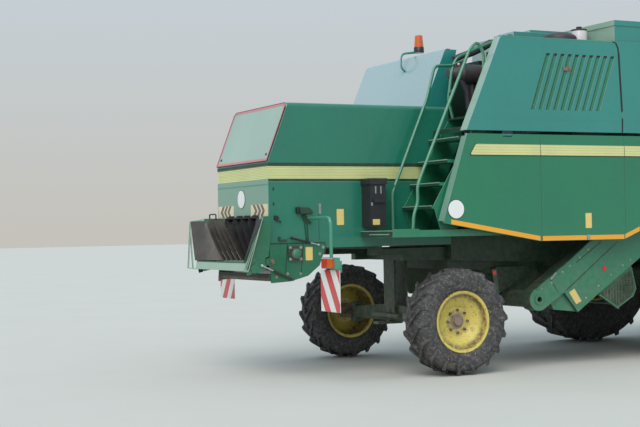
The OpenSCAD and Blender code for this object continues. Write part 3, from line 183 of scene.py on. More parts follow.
def band_paint(name, colour, deep, pitch, z0):
    """Ribbed cream trim: fine level lines from z0 on, with painted shade in the grooves."""
    f = Finish(name, colour, rough=0.4, coat=0.2)
    f.patches(deep, 3.0, 0.35, 0.7, 0.8)
    wave = f.math("FRACT", f.math("DIVIDE", f.math("SUBTRACT", f.z, z0), pitch))
    groove = f.span(f.math("ABSOLUTE", f.math("SUBTRACT", wave, 0.5)), 0.36, 0.5)
    # Painted shade in the grooves.
    f.blend(f.times(groove, 0.55), (0.3, 0.31, 0.14))
    f.dust(0.25)
    f.bump(groove, 0.4, -0.002)
    return f.done()


def steel(name, colour, rough, metallic, dust, rust=0.0, streaks=0.0):
    f = Finish(name, colour, metallic=metallic, rough=rough)
    f.patches(tuple(c * 0.6 for c in colour), 6, 0.4, 0.7, 0.7)
    if streaks:
        bright = tuple(min(1, c * 2.6 + 0.05) for c in colour)
        f.patches(bright, 5, 0.52, 0.72, streaks, stretch=(1, 6, 0.7), detail=6)
    if rust:
        f.patches((0.13, 0.055, 0.025), 9, 0.52, 0.66, rust, detail=8, rough=0.75)
    f.dust(dust)
    f.bump(f.noise(60, 6, 0.7), 0.25, 0.002)
    return f.done()


def rubber():
    f = Finish("tyre_rubber", (0.038, 0.038, 0.042), rough=0.75, specular=0.3)
    f.patches((0.075, 0.074, 0.08), 4, 0.35, 0.7, 0.9, detail=6)
    f.patches((0.24, 0.21, 0.17), 26, 0.46, 0.68, 0.6, detail=8, rough=0.75)
    f.specks((0.45, 0.38, 0.25), 60, 0.66, 0.7)
    f.bump(f.noise(90, 6, 0.7), 0.4, 0.003)
    return f.done()


def rim_paint(name, centre, hub, edge):
    """Pale yellow enamel; the hub and its ring are rusty, and the gutter at the edge is darker brown."""
    f = Finish(name, (0.7, 0.56, 0.11), rough=0.42, coat=0.15)
    f.patches((0.56, 0.45, 0.12), 3, 0.35, 0.7, 0.8)
    f.patches((0.16, 0.1, 0.045), 13, 0.54, 0.68, 0.6, detail=8, rough=0.7)
    along = f.math("SUBTRACT", f.x, AXLE + centre[0])
    up = f.math("SUBTRACT", f.z, centre[1])
    r = f.math("SQRT", f.math("ADD", f.times(along, along), f.times(up, up)))
    grain = f.span(f.noise(22, 6, 0.7), 0.3, 0.58)
    f.blend(f.times(f.span(r, hub * 1.75, hub * 1.15, 0, 0.7), grain), (0.3, 0.21, 0.14))
    f.blend(f.span(r, hub * 1.02, hub * 0.94, 0, 0.9), (0.24, 0.17, 0.15))
    inside = f.span(r, edge - 0.075, edge - 0.03, 0, 0.9)
    f.blend(f.times(inside, f.span(r, edge + 0.002, edge - 0.012), grain), (0.15, 0.1, 0.055))
    f.specks((0.09, 0.06, 0.03), 48, 0.64, 0.75)
    f.roughen(f.noise(12, 6, 0.7), 0.3)
    f.bump(f.noise(40, 6, 0.7), 0.3, 0.002)
    return f.done()


def clear(name, colour, rough, transmission, alpha=1.0):
    f = Finish(name, colour, rough=rough, coat=0.5)
    f.shader.inputs["Transmission Weight"].default_value = transmission
    f.shader.inputs["Alpha"].default_value = alpha
    f.roughen(f.noise(30, 4, 0.6), 0.12)
    f.patches(tuple(c * 0.8 for c in colour), 6, 0.4, 0.7, 0.6)
    f.bump(f.noise(7, 2, 0.5), 0.05, 0.002)
    return f.done()


def fabric():
    f = Finish("seat_fabric", (0.045, 0.047, 0.052), rough=0.9, specular=0.2)
    f.shader.inputs["Sheen Weight"].default_value = 0.3
    weave = [f.math("SINE", f.times(s, 1400)) for s in f.node("SeparateXYZ", {0: f.at}).outputs]
    cloth = f.times(weave[0], f.math("ADD", weave[1], weave[2]))
    f.blend(f.span(cloth, -1, 1, 0, 0.5), (0.1, 0.1, 0.11))
    f.bump(cloth, 0.4, 0.0008)
    return f.done()


# GREEN, GREEN_HOOD, GREEN_COVER and GREEN_SHIELD: their pale back colours are painted sky reflection on
# faces that look back.
GREEN = paint("green_paint", (0.01, 0.2, 0.1), (0.007, 0.15, 0.078), back=((0.25, 0.4, 0.3), 0.55))
GREEN_HOOD = paint("hood_paint", (0.01, 0.185, 0.115), (0.008, 0.15, 0.098), dust=0.25,
                   back=((0.2, 0.36, 0.28), 0.85))
# The cover green's teal cast is partly painted sky reflection.
GREEN_COVER = paint("green_cover_paint", (0.02, 0.24, 0.205), (0.015, 0.205, 0.175), dust=0.15,
                    rough=0.26, coat=0.7, specks=0.12, back=((0.36, 0.46, 0.47), 0.9))
GREEN_SHIELD = paint("shield_paint", (0.006, 0.19, 0.09), (0.007, 0.16, 0.086), dust=0.2,
                     rough=0.28, coat=0.5, specks=0.15, back=((0.24, 0.38, 0.31), 0.8))
# The chopper's and the elevator's dark back colours are painted shade on faces that look back.
GREEN_CHOPPER = paint("chopper_paint", (0.008, 0.15, 0.072), (0.005, 0.11, 0.055), dust=0.06,
                      back=((0.035, 0.03, 0.027), 0.95))
GREEN_LEG = paint("elevator_paint", (0.01, 0.2, 0.1), (0.007, 0.15, 0.078),
                  back=((0.004, 0.035, 0.022), 0.95), start=-0.12)
# Also the colour of pale lines painted as highlights on edges.
GREEN_LAMP = paint("lamp_bracket_paint", (0.06, 0.29, 0.18), (0.045, 0.23, 0.145), dust=0.2, coat=0.3)
# A darker copy of the green paint: painted shade, on the parts under the machine and on small parts and
# lines in shade.
GREEN_DARK = paint("dark_green_paint", (0.005, 0.052, 0.028), (0.003, 0.026, 0.015), dust=0.5,
                   rough=0.5, coat=0.1)
# A pale copy of the green paint: painted sky reflection on faces that look back, and painted highlights on
# edges.
GREEN_PALE = paint("sage_return_paint", (0.3, 0.45, 0.34), (0.24, 0.38, 0.29), dust=0.2,
                   rough=0.35, coat=0.4, specks=0.1)
# The rear board's pale sage is painted sky reflection on the green paint.
BOARD = paint("rear_board_paint", (0.34, 0.46, 0.38), (0.29, 0.4, 0.33), dust=0.15,
              rough=0.4, coat=0.25, specks=0.1)
YELLOW = paint("yellow_paint", (0.8, 0.52, 0.02), (0.66, 0.42, 0.02), dust=0.5, rough=0.42)
BLACK = paint("black_paint", (0.008, 0.009, 0.01), (0.014, 0.014, 0.014), dust=0.25,
              rough=0.4, coat=0.1, specks=0.1)
PLASTIC = paint("black_plastic", (0.009, 0.011, 0.017), (0.02, 0.02, 0.022), dust=0.25,
                rough=0.55, coat=0.0, specks=0.12)
WHITE = film("board_white_film", (0.84, 0.84, 0.82), (0.74, 0.74, 0.71), 0.25, 0.3, coat=0.3)
RED = film("board_red_film", (0.66, 0.03, 0.035), (0.54, 0.025, 0.03), 0.2, 0.3, coat=0.3)
PINK = film("border_red_film", (0.62, 0.17, 0.18), (0.54, 0.14, 0.15), 0.1, 0.35)
STICKER = film("blank_label_film", (0.8, 0.6, 0.18), (0.72, 0.54, 0.18), 0.15, 0.4)
FILM = film("plate_film", (0.76, 0.66, 0.42), (0.7, 0.6, 0.38), 0.12, 0.35)
BROWN = film("bar_film", (0.15, 0.105, 0.1), (0.12, 0.085, 0.08), 0.1, 0.4)
ORANGE = film("orange_reflective_film", (0.9, 0.4, 0.02), (0.8, 0.33, 0.02), 0.12, 0.3, coat=0.4)
CREAM = band_paint("cream_band", (0.72, 0.74, 0.33), (0.62, 0.66, 0.29), 0.0168, 2.162)
CREAM_STRIPE = band_paint("cream_stripe", (0.7, 0.68, 0.3), (0.62, 0.61, 0.28), 0.0285, 2.3805)
STEEL = steel("galvanised_steel", (0.45, 0.46, 0.45), 0.42, 0.8, 0.4)
DARK = steel("dark_steel", (0.06, 0.056, 0.055), 0.6, 0.4, 0.8, rust=0.5)
VANE = steel("worn_tail_steel", (0.066, 0.06, 0.055), 0.5, 0.2, 0.2, rust=0.25, streaks=0.2)
VANE_EDGE = steel("bright_vane_edge", (0.3, 0.23, 0.2), 0.45, 0.3, 0.3, rust=0.3)
# A black copy of the vane steel: painted shade.
BLACK_VANE = steel("shaded_vane_steel", (0.008, 0.008, 0.009), 0.6, 0.0, 0.1)
RUST = steel("rusty_latch_steel", (0.3, 0.22, 0.16), 0.6, 0.4, 0.5, rust=0.8)
PURPLE = steel("air_cleaner_plastic", (0.04, 0.032, 0.045), 0.5, 0.0, 0.3)
SILVER = steel("mirror_glass", (0.6, 0.64, 0.66), 0.08, 1.0, 0.05)
EXHAUST = steel("muffler_steel", (0.085, 0.075, 0.085), 0.55, 0.5, 0.3, rust=0.6)
CHROME = steel("chromed_rod", (0.75, 0.76, 0.77), 0.12, 1.0, 0.1)
WORN = steel("polished_auger_steel", (0.42, 0.42, 0.41), 0.32, 0.9, 0.35, rust=0.35)
RUBBER = rubber()
RIM_FRONT = rim_paint("front_rim_paint", FRONT_HUB, 0.13, 0.406)
RIM_REAR = rim_paint("rear_rim_paint", REAR_HUB, 0.085, 0.305)
GLASS = clear("tinted_glass", (0.16, 0.25, 0.25), 0.04, 0.0, alpha=0.42)
AMBER = clear("amber_lens", (0.9, 0.16, 0.008), 0.12, 0.25)
RED_LENS = clear("red_lens", (0.72, 0.035, 0.015), 0.14, 0.15)
CLEAR_LENS = clear("clear_lens", (0.75, 0.78, 0.8), 0.08, 0.3)
BOTTLE = clear("bottle_plastic", (0.78, 0.74, 0.74), 0.35, 0.1)
FABRIC = fabric()

by_node = {
    GREEN_CHOPPER: "chopper_housing",
    GREEN_LAMP: "lamp_brackets",
    GREEN_LEG: "grain_elevator returns_elevator",
    GREEN: "tailboard feeder_house rear_ladder ladder_treads cab_platform unloading_auger header_table",
    GREEN_HOOD: "straw_hood",
    GREEN_COVER: "engine_panels grain_tank cab_roof unloader_turret",
    GREEN_SHIELD: "shield_right shield_left",
    GREEN_DARK: "chassis drive_axle steer_axle knuckle_right knuckle_left engine separator_body",
    GREEN_PALE: "tail_frame",
    DARK: "straw_walkers chopper_rotor cooling_box",
    CREAM: "hood_band",
    BOARD: "rear_board",
    VANE: "tail_vanes",
    WHITE: "warning_boards",
    BLACK: "strut_barrels lift_barrels reel_barrels cab_frame cab_door",
    PLASTIC: "extinguisher_case",
    CHROME: "strut_rods lift_rods reel_rods",
    EXHAUST: "muffler",
    GLASS: "cab_glass",
    FABRIC: "cab_interior",
    RUBBER: "front_tyre_right front_tyre_left rear_tyre_right rear_tyre_left",
    RIM_FRONT: "front_rim_right front_rim_left",
    RIM_REAR: "rear_rim_right rear_rim_left",
    WORN: "header_auger",
    YELLOW: "reel reel_arms",
}
for finish, names in by_node.items():
    for name in names.split():
        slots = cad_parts[name].data.materials
        slots.clear()
        slots.append(finish)


# ---- Building in mesh code ----
def add_object(name, data):
    ob = bpy.data.objects.new(name, data)
    bpy.context.collection.objects.link(ob)
    return ob


def circle(o, u, v, r, n):
    """Points of a circle of radius r round o, in the plane of u and v."""
    angles = [2 * math.pi * k / n for k in range(n)]
    return [o + r * (math.cos(a) * u + math.sin(a) * v) for a in angles]


class Shape:
    """Collects closed forms in one mesh."""

    def __init__(self):
        self.v, self.f = [], []

    def add(self, verts, faces):
        n = len(self.v)
        self.v += [Vector(p) for p in verts]
        self.f += [[n + i for i in q] for q in faces]
        return self

    def prism(self, pts, o, u, v, t):
        """A flat outline on the plane of u and v at o, carried along the vector t."""
        o, u, v, t = map(Vector, (o, u, v, t))
        n = len(pts)
        low = [o + a * u + b * v for a, b in pts]
        walls = [[i, (i + 1) % n, n + (i + 1) % n, n + i] for i in range(n)]
        return self.add(low + [p + t for p in low], [list(range(n)), list(range(n, 2 * n))] + walls)

    def side(self, pts, s, y, t):
        """An outline in x and z on the side s, standing t proud of the plane y."""
        return self.prism(pts, (0, s * y, 0), (1, 0, 0), (0, 0, 1), (0, s * t, 0))

    def back(self, pts, x, t):
        """An outline in y and z on a plane that faces back at x."""
        return self.prism(pts, (x, 0, 0), (0, 1, 0), (0, 0, 1), (-t, 0, 0))

    def box(self, lo, hi):
        up = (0, 0, hi[2] - lo[2])
        return self.prism(rect(lo[0], lo[1], hi[0], hi[1]), (0, 0, lo[2]), (1, 0, 0), (0, 1, 0), up)

    def loft(self, rings):
        n, m = len(rings[0]), len(rings)
        walls = [[i * n + k, i * n + (k + 1) % n, (i + 1) * n + (k + 1) % n, (i + 1) * n + k]
                 for i in range(m - 1) for k in range(n)]
        ends = [list(range(n)), list(range((m - 1) * n, m * n))]
        return self.add([p for r in rings for p in r], walls + ends)

    def turn(self, profile, o, axis, n=32):
        """A turned form; the profile is (radius, height) pairs along the axis."""
        o, w = Vector(o), Vector(axis).normalized()
        u = w.orthogonal().normalized()
        v = w.cross(u)
        return self.loft([circle(o + h * w, u, v, r, n) for r, h in profile])

    def tube(self, path, r, n=12):
        path = [Vector(p) for p in path]
        rings, u = [], None
        for i, p in enumerate(path):
            d = (path[min(i + 1, len(path) - 1)] - path[max(i - 1, 0)]).normalized()
            u = d.orthogonal().normalized() if u is None else (u - u.dot(d) * d).normalized()
            rings.append(circle(p, u, d.cross(u), r, n))
        return self.loft(rings)

    def slab(self, pts, t):
        """A flat or slightly twisted plate: an outline in space carried along the vector t."""
        low = [Vector(p) for p in pts]
        return self.loft([low, [p + Vector(t) for p in low]])

    def bolt(self, o, axis, r, h):
        """A hexagon head on a washer."""
        self.turn([(r * 1.5, 0), (r * 1.5, 0.003)], o, axis, 20)
        return self.turn([(r, 0.003), (r, h * 0.8), (r * 0.85, h)], o, axis, 6)

    def make(self, name, mat, slot, bevel=0.0, body="root", smooth=35):
        me = bpy.data.meshes.new(name)
        me.from_pydata([(p.x + AXLE, p.y, p.z - DROP) for p in self.v], [], self.f)
        bm = bmesh.new()
        bm.from_mesh(me)
        bmesh.ops.recalc_face_normals(bm, faces=bm.faces)
        bm.to_mesh(me)
        bm.free()
        me.materials.append(mat)
        ob = add_object(name, me)
        if bevel:
            edge = ob.modifiers.new("edge", "BEVEL")
            edge.width = bevel
            edge.segments = 2
            edge.limit_method = "ANGLE"
            edge.angle_limit = math.radians(40)
        if smooth:
            me.shade_smooth()
            me.set_sharp_from_angle(angle=math.radians(smooth))
        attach(ob, body)
        return ob


def shapes(count):
    return [Shape() for _ in range(count)]


def arc(c, r, degrees):
    """Points at these angles on a circle of radius r round c."""
    angles = [math.radians(a) for a in degrees]
    return [(c[0] + r * math.cos(a), c[1] + r * math.sin(a)) for a in angles]


def disc(c, r, n=40):
    return arc(c, r, [360 * k / n for k in range(n)])


def rect(a0, b0, a1, b1, r=0.0):
    """A rectangle, with corners of radius r."""
    if not r:
        return [(a0, b0), (a1, b0), (a1, b1), (a0, b1)]
    corners = ((a1 - r, b0 + r, -90), (a1 - r, b1 - r, 0), (a0 + r, b1 - r, 90), (a0 + r, b0 + r, 180))
    return [p for a, b, q in corners for p in arc((a, b), r, range(q, q + 91, 30))]


def clip(poly, a, b, c):
    """Keeps the part of an outline where a x + b y <= c."""
    out = []
    for p, q in zip(poly, poly[1:] + poly[:1]):
        dp = a * p[0] + b * p[1] - c
        dq = a * q[0] + b * q[1] - c
        if dp <= 0:
            out.append(p)
        if (dp < 0) != (dq < 0):
            t = dp / (dp - dq)
            out.append((p[0] + t * (q[0] - p[0]), p[1] + t * (q[1] - p[1])))
    return out


def cut_band(poly, a, b, lo, hi):
    """Keeps the part of an outline where lo <= a x + b y <= hi."""
    return clip(clip(poly, a, b, hi), -a, -b, -lo)


def around(outer, inner):
    """The four-cornered pieces between two outlines with as many points."""
    for i in range(len(outer)):
        j = (i + 1) % len(outer)
        yield [outer[i], outer[j], inner[j], inner[i]]


def line(shape, s, y, t, a, b, w):
    """A straight strip of width w from a to b on the side s."""
    d = Vector((b[0] - a[0], b[1] - a[1])).normalized() * w / 2
    return shape.side([(a[0] - d.y, a[1] + d.x), (b[0] - d.y, b[1] + d.x),
                       (b[0] + d.y, b[1] - d.x), (a[0] + d.y, a[1] - d.x)], s, y, t)


# ---- Side shields: cream stripe, reflective strip along the lower edge, latch, roundel, label ----
STRIPE = [(0.095, 2.384), (3.93, 2.384), (3.93, 2.498), (0.168, 2.498), (0.15, 2.49), (0.092, 2.4)]
STRIPE_EDGE = [(0.086, 2.375), (3.935, 2.375), (3.935, 2.386), (0.095, 2.386), (0.09, 2.402),
               (0.16, 2.497), (0.15, 2.503), (0.078, 2.395)]
LOW_EDGE = [(-0.19, 1.652), (0.967, 1.452), (2.109, 1.45), (2.33, 1.537), (3.28, 1.917)]
STRIPS = ((0, -0.17, 0.962), (1, 0.992, 1.585), (1, 1.625, 2.105), (2, 2.12, 2.325),
          (3, 2.335, 2.76), (3, 2.78, 3.27))        # stretch of the lower edge, first x and last x
ROUNDEL, ROUNDEL_EDGE = 0.097, 0.103
for s, tag in SIDES:
    body = "shield_" + tag
    stripe, rim, strip = shapes(3)
    for lo, hi in ((-1, 0.981), (0.989, 2.126), (2.134, 4)):
        stripe.side(cut_band(STRIPE, 1, 0, lo, hi), s, SHIELD, 0.004)
    rim.side(STRIPE_EDGE, s, SHIELD, 0.003)
    stripe.make("stripe_" + tag, CREAM_STRIPE, "cream_band", 0.0012, body)
    rim.make("stripe_edge_" + tag, GREEN_DARK, "dark_green", body=body)
    for k, lo, hi in STRIPS:
        p, q = LOW_EDGE[k], LOW_EDGE[k + 1]
        z_lo, z_hi = [p[1] + (x - p[0]) * (q[1] - p[1]) / (q[0] - p[0]) + 0.004 for x in (lo, hi)]
        strip.side([(lo, z_lo), (hi, z_hi), (hi, z_hi + 0.05), (lo, z_lo + 0.05)], s, SHIELD, 0.003)
    strip.make("reflective_strip_" + tag, ORANGE, "yellow_paint", 0.0008, body)
    latch, edge, roundel, label = shapes(4)
    latch.side(rect(1.588, 1.452, 1.622, 1.512), s, SHIELD, 0.012)
    latch.make("shield_latch_" + tag, STEEL, "galvanised", 0.002, body)
    edge.side(disc((-0.107, 1.809), ROUNDEL_EDGE), s, SHIELD, 0.003)
    edge.make("roundel_edge_" + tag, BLACK, "black_plastic", body=body)
    roundel.side(disc((-0.107, 1.809), ROUNDEL), s, SHIELD, 0.005)
    roundel.make("roundel_" + tag, WHITE, "board_white", 0.001, body)
    label.side(rect(1.572, 1.584, 1.655, 1.75, 0.006), s, SHIELD, LABEL)
    label.make("label_shield_" + tag, STICKER, "yellow_paint", body=body)

# ---- Rear of the hood: roundel and chevron plates ----
edge, roundel = shapes(2)
edge.back(disc((0.02, 1.965), ROUNDEL_EDGE), HOOD_BACK, 0.003)
edge.make("roundel_edge_rear", BLACK, "black_plastic")
roundel.back(disc((0.02, 1.965), ROUNDEL), HOOD_BACK, 0.005)
roundel.make("roundel_rear", WHITE, "board_white", 0.001)
plates, chevrons = shapes(2)
for s in (-1, 1):
    mid = s * 0.46
    plates.back(rect(mid - 0.22, 1.765, mid + 0.22, 1.9), HOOD_BACK, 0.004)
    for k in (-1, 0, 1):
        tip = mid + s * (0.098 * k + 0.052)
        for up in (-1, 1):
            wing = [(tip, 1.8325), (tip - s * 0.062, 1.8325 + up * 0.0665)]
            chevrons.back(wing + [(y - s * 0.058, z) for y, z in wing[::-1]], HOOD_BACK - 0.004, DRAWN)
plates.make("chevron_plates", FILM, "cream_band", 0.001)
chevrons.make("chevron_bars", BROWN, "black_plastic", smooth=0)

# ---- Slanted board: border, seal and bolts ----
BOARD_UP = Vector((0.246, 0, 0.632)).normalized()
BOARD_OUT = Vector((-0.632, 0, 0.246)).normalized()
BOARD_FOOT = Vector((-1.9003, 0, 2.338)) + 0.014 * BOARD_OUT


def board_outline(m):
    """The board's outline drawn in by m; each upper corner is cut off in two steps."""
    cut = 0.05 - m * 0.4
    half, low, high = 0.696 - m, 0.006 + m, 0.672 - m
    corner = [(half, high - cut), (half - cut * 0.3, high - cut * 0.3), (half - cut, high)]
    return [(-half, low), (half, low), *corner, *((-a, b) for a, b in corner[::-1])]


# Frames on the board: from the outline drawn in by outer to that by inner, and from t0 to t1 proud of it
BOARD_FRAMES = (("board_border", PINK, "board_white", 0.004, 0.032, 0, DRAWN),
                ("board_seal", BLACK, "black_plastic", -0.001, 0.0042, -0.01, 0.004))
for name, mat, slot, outer, inner, t0, t1 in BOARD_FRAMES:
    strips = Shape()
    for strip in around(board_outline(outer), board_outline(inner)):
        strips.prism(strip, BOARD_FOOT + t0 * BOARD_OUT, (0, -1, 0), BOARD_UP, (t1 - t0) * BOARD_OUT)
    strips.make(name, mat, slot, smooth=0)
bolts = Shape()
for y in (0.62, -0.62):
    bolts.bolt(BOARD_FOOT + Vector((0, y, 0)) + 0.085 * BOARD_UP, BOARD_OUT, 0.01, 0.009)
bolts.make("board_bolts", BLACK, "black_plastic")

# ---- Sides of the hood: small slots, seam and labels ----
slots = Shape()
for s in (-1, 1):
    for z in (2.054, 1.898):
        slots.side(rect(-1.852, z - 0.018, -1.836, z + 0.018), s, HOOD_SIDE, 0.002)
    slots.side(rect(-1.322, 1.51, -1.317, 1.885), s, HOOD_SIDE, 0.001)
slots.make("hood_slots", BLACK, "black_plastic", smooth=0)
labels = Shape()
labels.side(rect(-1.105, 1.667, -1.02, 1.838, 0.006), -1, HOOD_SIDE, LABEL)
labels.side(rect(-1.492, 1.3, -1.41, 1.44, 0.006), -1, CHEEK, LABEL)
labels.make("label_hood", STICKER, "yellow_paint")

# ---- Sides of the chopper ----
PLATE, PLATE_Y = 0.077, CHEEK + 0.0185      # half the bearing plate's side, and the face it lies on
for s, tag in SIDES:
    seams, plate, silver = shapes(3)
    line(seams, s, CHEEK, DRAWN, (-1.9, 1.4815), (-1.262, 1.4815), 0.01)
    for top, foot in ((-1.7, -1.73), (-1.515, -1.548)):
        line(seams, s, CHEEK, DRAWN, (top, 1.474), (foot, 1.172), 0.009)
    seams.make("chopper_seams_" + tag, BLACK, "black_plastic", smooth=0)
    corners = [(ROTOR[0] + PLATE * i, ROTOR[1] + PLATE * j) for i, j in
               ((0, -1), (1, -1), (1, 0), (1, 1), (0, 1), (-1, 1), (-1, 0), (-1, -1))]
    for strip in around(corners, arc(ROTOR, 0.0405, range(-90, 270, 45))):
        plate.side(strip, s, PLATE_Y, 0.006)
    plate.make("bearing_plate_" + tag, DARK, "dark_steel", 0.002)
    for x, z in ((-1.68, 1.437), (-1.56, 1.437), (-1.68, 1.317), (-1.56, 1.317)):
        silver.bolt((x, s * (PLATE_Y + 0.0062), z), (0, s, 0), 0.011, 0.01)
    for x, z in ((-1.832, 1.133), (-1.705, 1.163), (-1.555, 1.16), (-1.325, 1.365), (-1.285, 1.435)):
        silver.bolt((x, s * CHEEK, z), (0, s, 0), 0.011, 0.009)
    silver.make("chopper_bolts_" + tag, STEEL, "galvanised")
    # Gas stay of the chopper's cover, with its eyes
    y = s * (CHEEK + 0.02)
    barrel, rod = shapes(2)
    barrel.tube([(-1.652, y, 1.536), (-1.441, y, 1.485)], 0.011)
    barrel.turn([(0.015, -0.008), (0.015, 0.008)], (-1.655, y, 1.537), (0, 1, 0), 20)
    barrel.turn([(0.007, 0), (0.007, 0.041)], (-1.655, s * HOOD_SIDE, 1.537), (0, s, 0), 12)
    barrel.make("cover_stay_barrel_" + tag, BLACK, "black_paint")
    rod.tube([(-1.4405, y, 1.4849), (-1.352, y, 1.4635)], 0.006)
    rod.turn([(0.011, -0.007), (0.011, 0.007)], (-1.35, y, 1.463), (0, 1, 0), 20)
    rod.turn([(0.006, 0), (0.006, 0.02)], (-1.35, s * CHEEK, 1.463), (0, s, 0), 12)
    rod.make("cover_stay_rod_" + tag, CHROME, "chromed_rod")
    # Catch by the tailboard, and above it a bracket and a hook
    catch, hook, bracket = shapes(3)
    line(catch, s, CHEEK, 0.012, (-1.893, 1.322), (-1.868, 1.27), 0.034)
    line(catch, s, CHEEK + 0.012, 0.01, (-1.9, 1.3), (-1.862, 1.296), 0.018)
    catch.make("tail_catch_" + tag, RUST, "galvanised", 0.002)
    hook.side([(-1.842, 1.73), (-1.8, 1.722), (-1.788, 1.748), (-1.805, 1.775), (-1.842, 1.778)],
              s, HOOD_SIDE, 0.022)
    hook.tube([(-1.8, s * 0.715, 1.735), (-1.785, s * 0.735, 1.716), (-1.783, s * 0.735, 1.7)], 0.008)
    hook.make("tail_hook_" + tag, BLACK, "black_paint", 0.002)
    line(bracket, s, HOOD_SIDE, 0.016, (-1.792, 1.518), (-1.7, 1.518), 0.016)
    bracket.side(rect(-1.797, 1.51, -1.776, 1.556, 0.006), s, HOOD_SIDE, 0.024)
    bracket.make("side_bracket_" + tag, GREEN_DARK, "dark_green", 0.0015)
    # Latch box over the chopper with its dark end, lever and thin rods, and a grey tab beside it
    box, end, lever, tab = shapes(4)
    box.side([(-1.56, 1.792), (-1.42, 1.786), (-1.412, 1.815), (-1.455, 1.858), (-1.56, 1.866)],
             s, HOOD_SIDE, 0.06)
    box.make("latch_box_" + tag, GREEN_DARK, "green_paint", 0.006)
    end.side(rect(-1.592, 1.795, -1.5605, 1.862), s, HOOD_SIDE, 0.045)
    end.make("latch_end_" + tag, BLACK, "black_paint", 0.003)
    line(lever, s, HOOD_SIDE, 0.016, (-1.502, 1.785), (-1.468, 1.702), 0.05)
    line(lever, s, HOOD_SIDE + 0.016, 0.008, (-1.478, 1.735), (-1.42, 1.69), 0.026)
    for x0, x1 in ((-1.492, -1.47), (-1.462, -1.452)):
        lever.tube([(x0, s * 0.709, 1.7), (x1, s * 0.709, 1.495)], 0.005, 8)
    lever.make("latch_lever_" + tag, GREEN_DARK, "dark_green", 0.002)
    tab.side(rect(-1.32, 1.788, -1.292, 1.898, 0.003), s, HOOD_SIDE, 0.003)
    tab.make("grey_tab_" + tag, STEEL, "galvanised")
    # Green cap on the end of the rotor, over its pulley on the right
    cap = Shape()
    cap.turn([(0.05, 0), (0.05, 0.006), (0.034, 0.01), (0.03, 0.018), (0.012, 0.022)],
             (ROTOR[0], -0.7701 if s < 0 else 0.7305, ROTOR[1]), (0, s, 0), 40)
    cap.make("rotor_cap_" + tag, GREEN, "green_paint", 0.0015, "chopper_rotor")

# ---- Hood: painted shade in the recesses beside the band, a painted highlight line under it, and a painted shadow over the outlet under the tail ----
# Painted shade in the recesses above and below the band, and a pale painted highlight line under it.
lines, pale = shapes(2)
for s in (-1, 1):
    lines.side(rect(-1.899, 2.298, 0.312, 2.331), s, HOOD_SIDE, DRAWN)
    lines.side(rect(-1.899, 2.136, 0.312, 2.161), s, HOOD_SIDE, DRAWN)
    pale.side(rect(-1.899, 2.126, 0.312, 2.135), s, HOOD_SIDE, 0.002)
lines.back(rect(-0.7, 2.3, 0.7, 2.334), HOOD_BACK, 0.002)
lines.make("band_painted_shade", GREEN_DARK, "dark_green", smooth=0)
pale.back(rect(-0.698, 2.098, 0.698, 2.112), HOOD_BACK, 0.002)
pale.make("band_edge_highlights", GREEN_LAMP, "green_paint", smooth=0)
skin, shade, bracket = shapes(3)
skin.back(rect(-0.699, 1.0925, 0.699, 1.1635), -1.905, 0.003)
skin.make("outlet_skin", DARK, "dark_steel", 0.001)
shade.back(rect(-0.698, 1.126, 0.698, 1.1645), -1.908, DRAWN)
shade.box((-1.9045, -0.699, 1.1641), (-1.8405, 0.699, 1.1655))
trough = range(214, 270, 5)
shade.side(arc(ROTOR, 0.2628, trough) + arc(ROTOR, 0.2612, trough[::-1]), 1, -0.699, 1.398)
shade.make("outlet_shadow", BLACK_VANE, "dark_steel", smooth=0)
bracket.box((-1.9145, 0.64, 1.06), (-1.9085, 0.698, 1.122))
bracket.make("outlet_bracket", BLACK, "black_paint", 0.002)

# ---- Tailboard: fan of vanes with its right half black as painted shade, a black sheet of painted shade behind it, and the side wings with their loops ----
FAN_FOOT, FAN_TOP = 1.292, 1.757
VANE_BACKS = ((1.304, -1.966), (1.35, -1.98), (1.4, -1.992), (1.475, -2.006), (1.55, -2.02),
              (1.62, -2.03), (1.69, -2.037), (1.735, -2.024), (FAN_TOP, -1.99))     # z, x
LEFT_FAN = ((-0.125, 0.235), (0.01, 0.375), (0.15, 0.51), (0.285, 0.63), (0.42, 0.735))
RIGHT_FAN = ((-0.2, 0.155), (-0.325, -0.08), (-0.455, -0.284), (-0.56, -0.497), (-0.63, -0.69))


def rim_x(z):
    """The pale frame's rear face."""
    return -2.1703 + (z - 1.232) * 0.2602


def face_x(z):
    """The face of the tailboard's plate on which the fan stands."""
    return -1.9483 + (z - 1.285) * 0.0309


def lean(z):
    """How far along from its foot to its top a vane has come at z."""
    k = (z - FAN_FOOT) / (FAN_TOP - FAN_FOOT)
    return k + 0.1 * k * (1 - k)


def vane(shape, y0, y1, t=0.005):
    """One plate of the fan, from its foot at y0 to its top at y1."""
    rings = []
    for z, back in VANE_BACKS:
        y = y0 + (y1 - y0) * lean(z)
        rings.append([Vector((a, b, z)) for a, b in rect(face_x(z) - 0.001, y - t / 2, back, y + t / 2)])
    shape.loft(rings)


fan, edges, shade, fan_shade = shapes(4)
for y0, y1 in LEFT_FAN:
    vane(fan, y0, y1)
    edges.slab([(-1.9685, y0 + 0.004, 1.306), (-1.9945, y0 + 0.0838, 1.402),
                (-1.9945, y0 + 0.0958, 1.402), (-1.9685, y0 + 0.018, 1.306)], (-0.003, 0, 0))
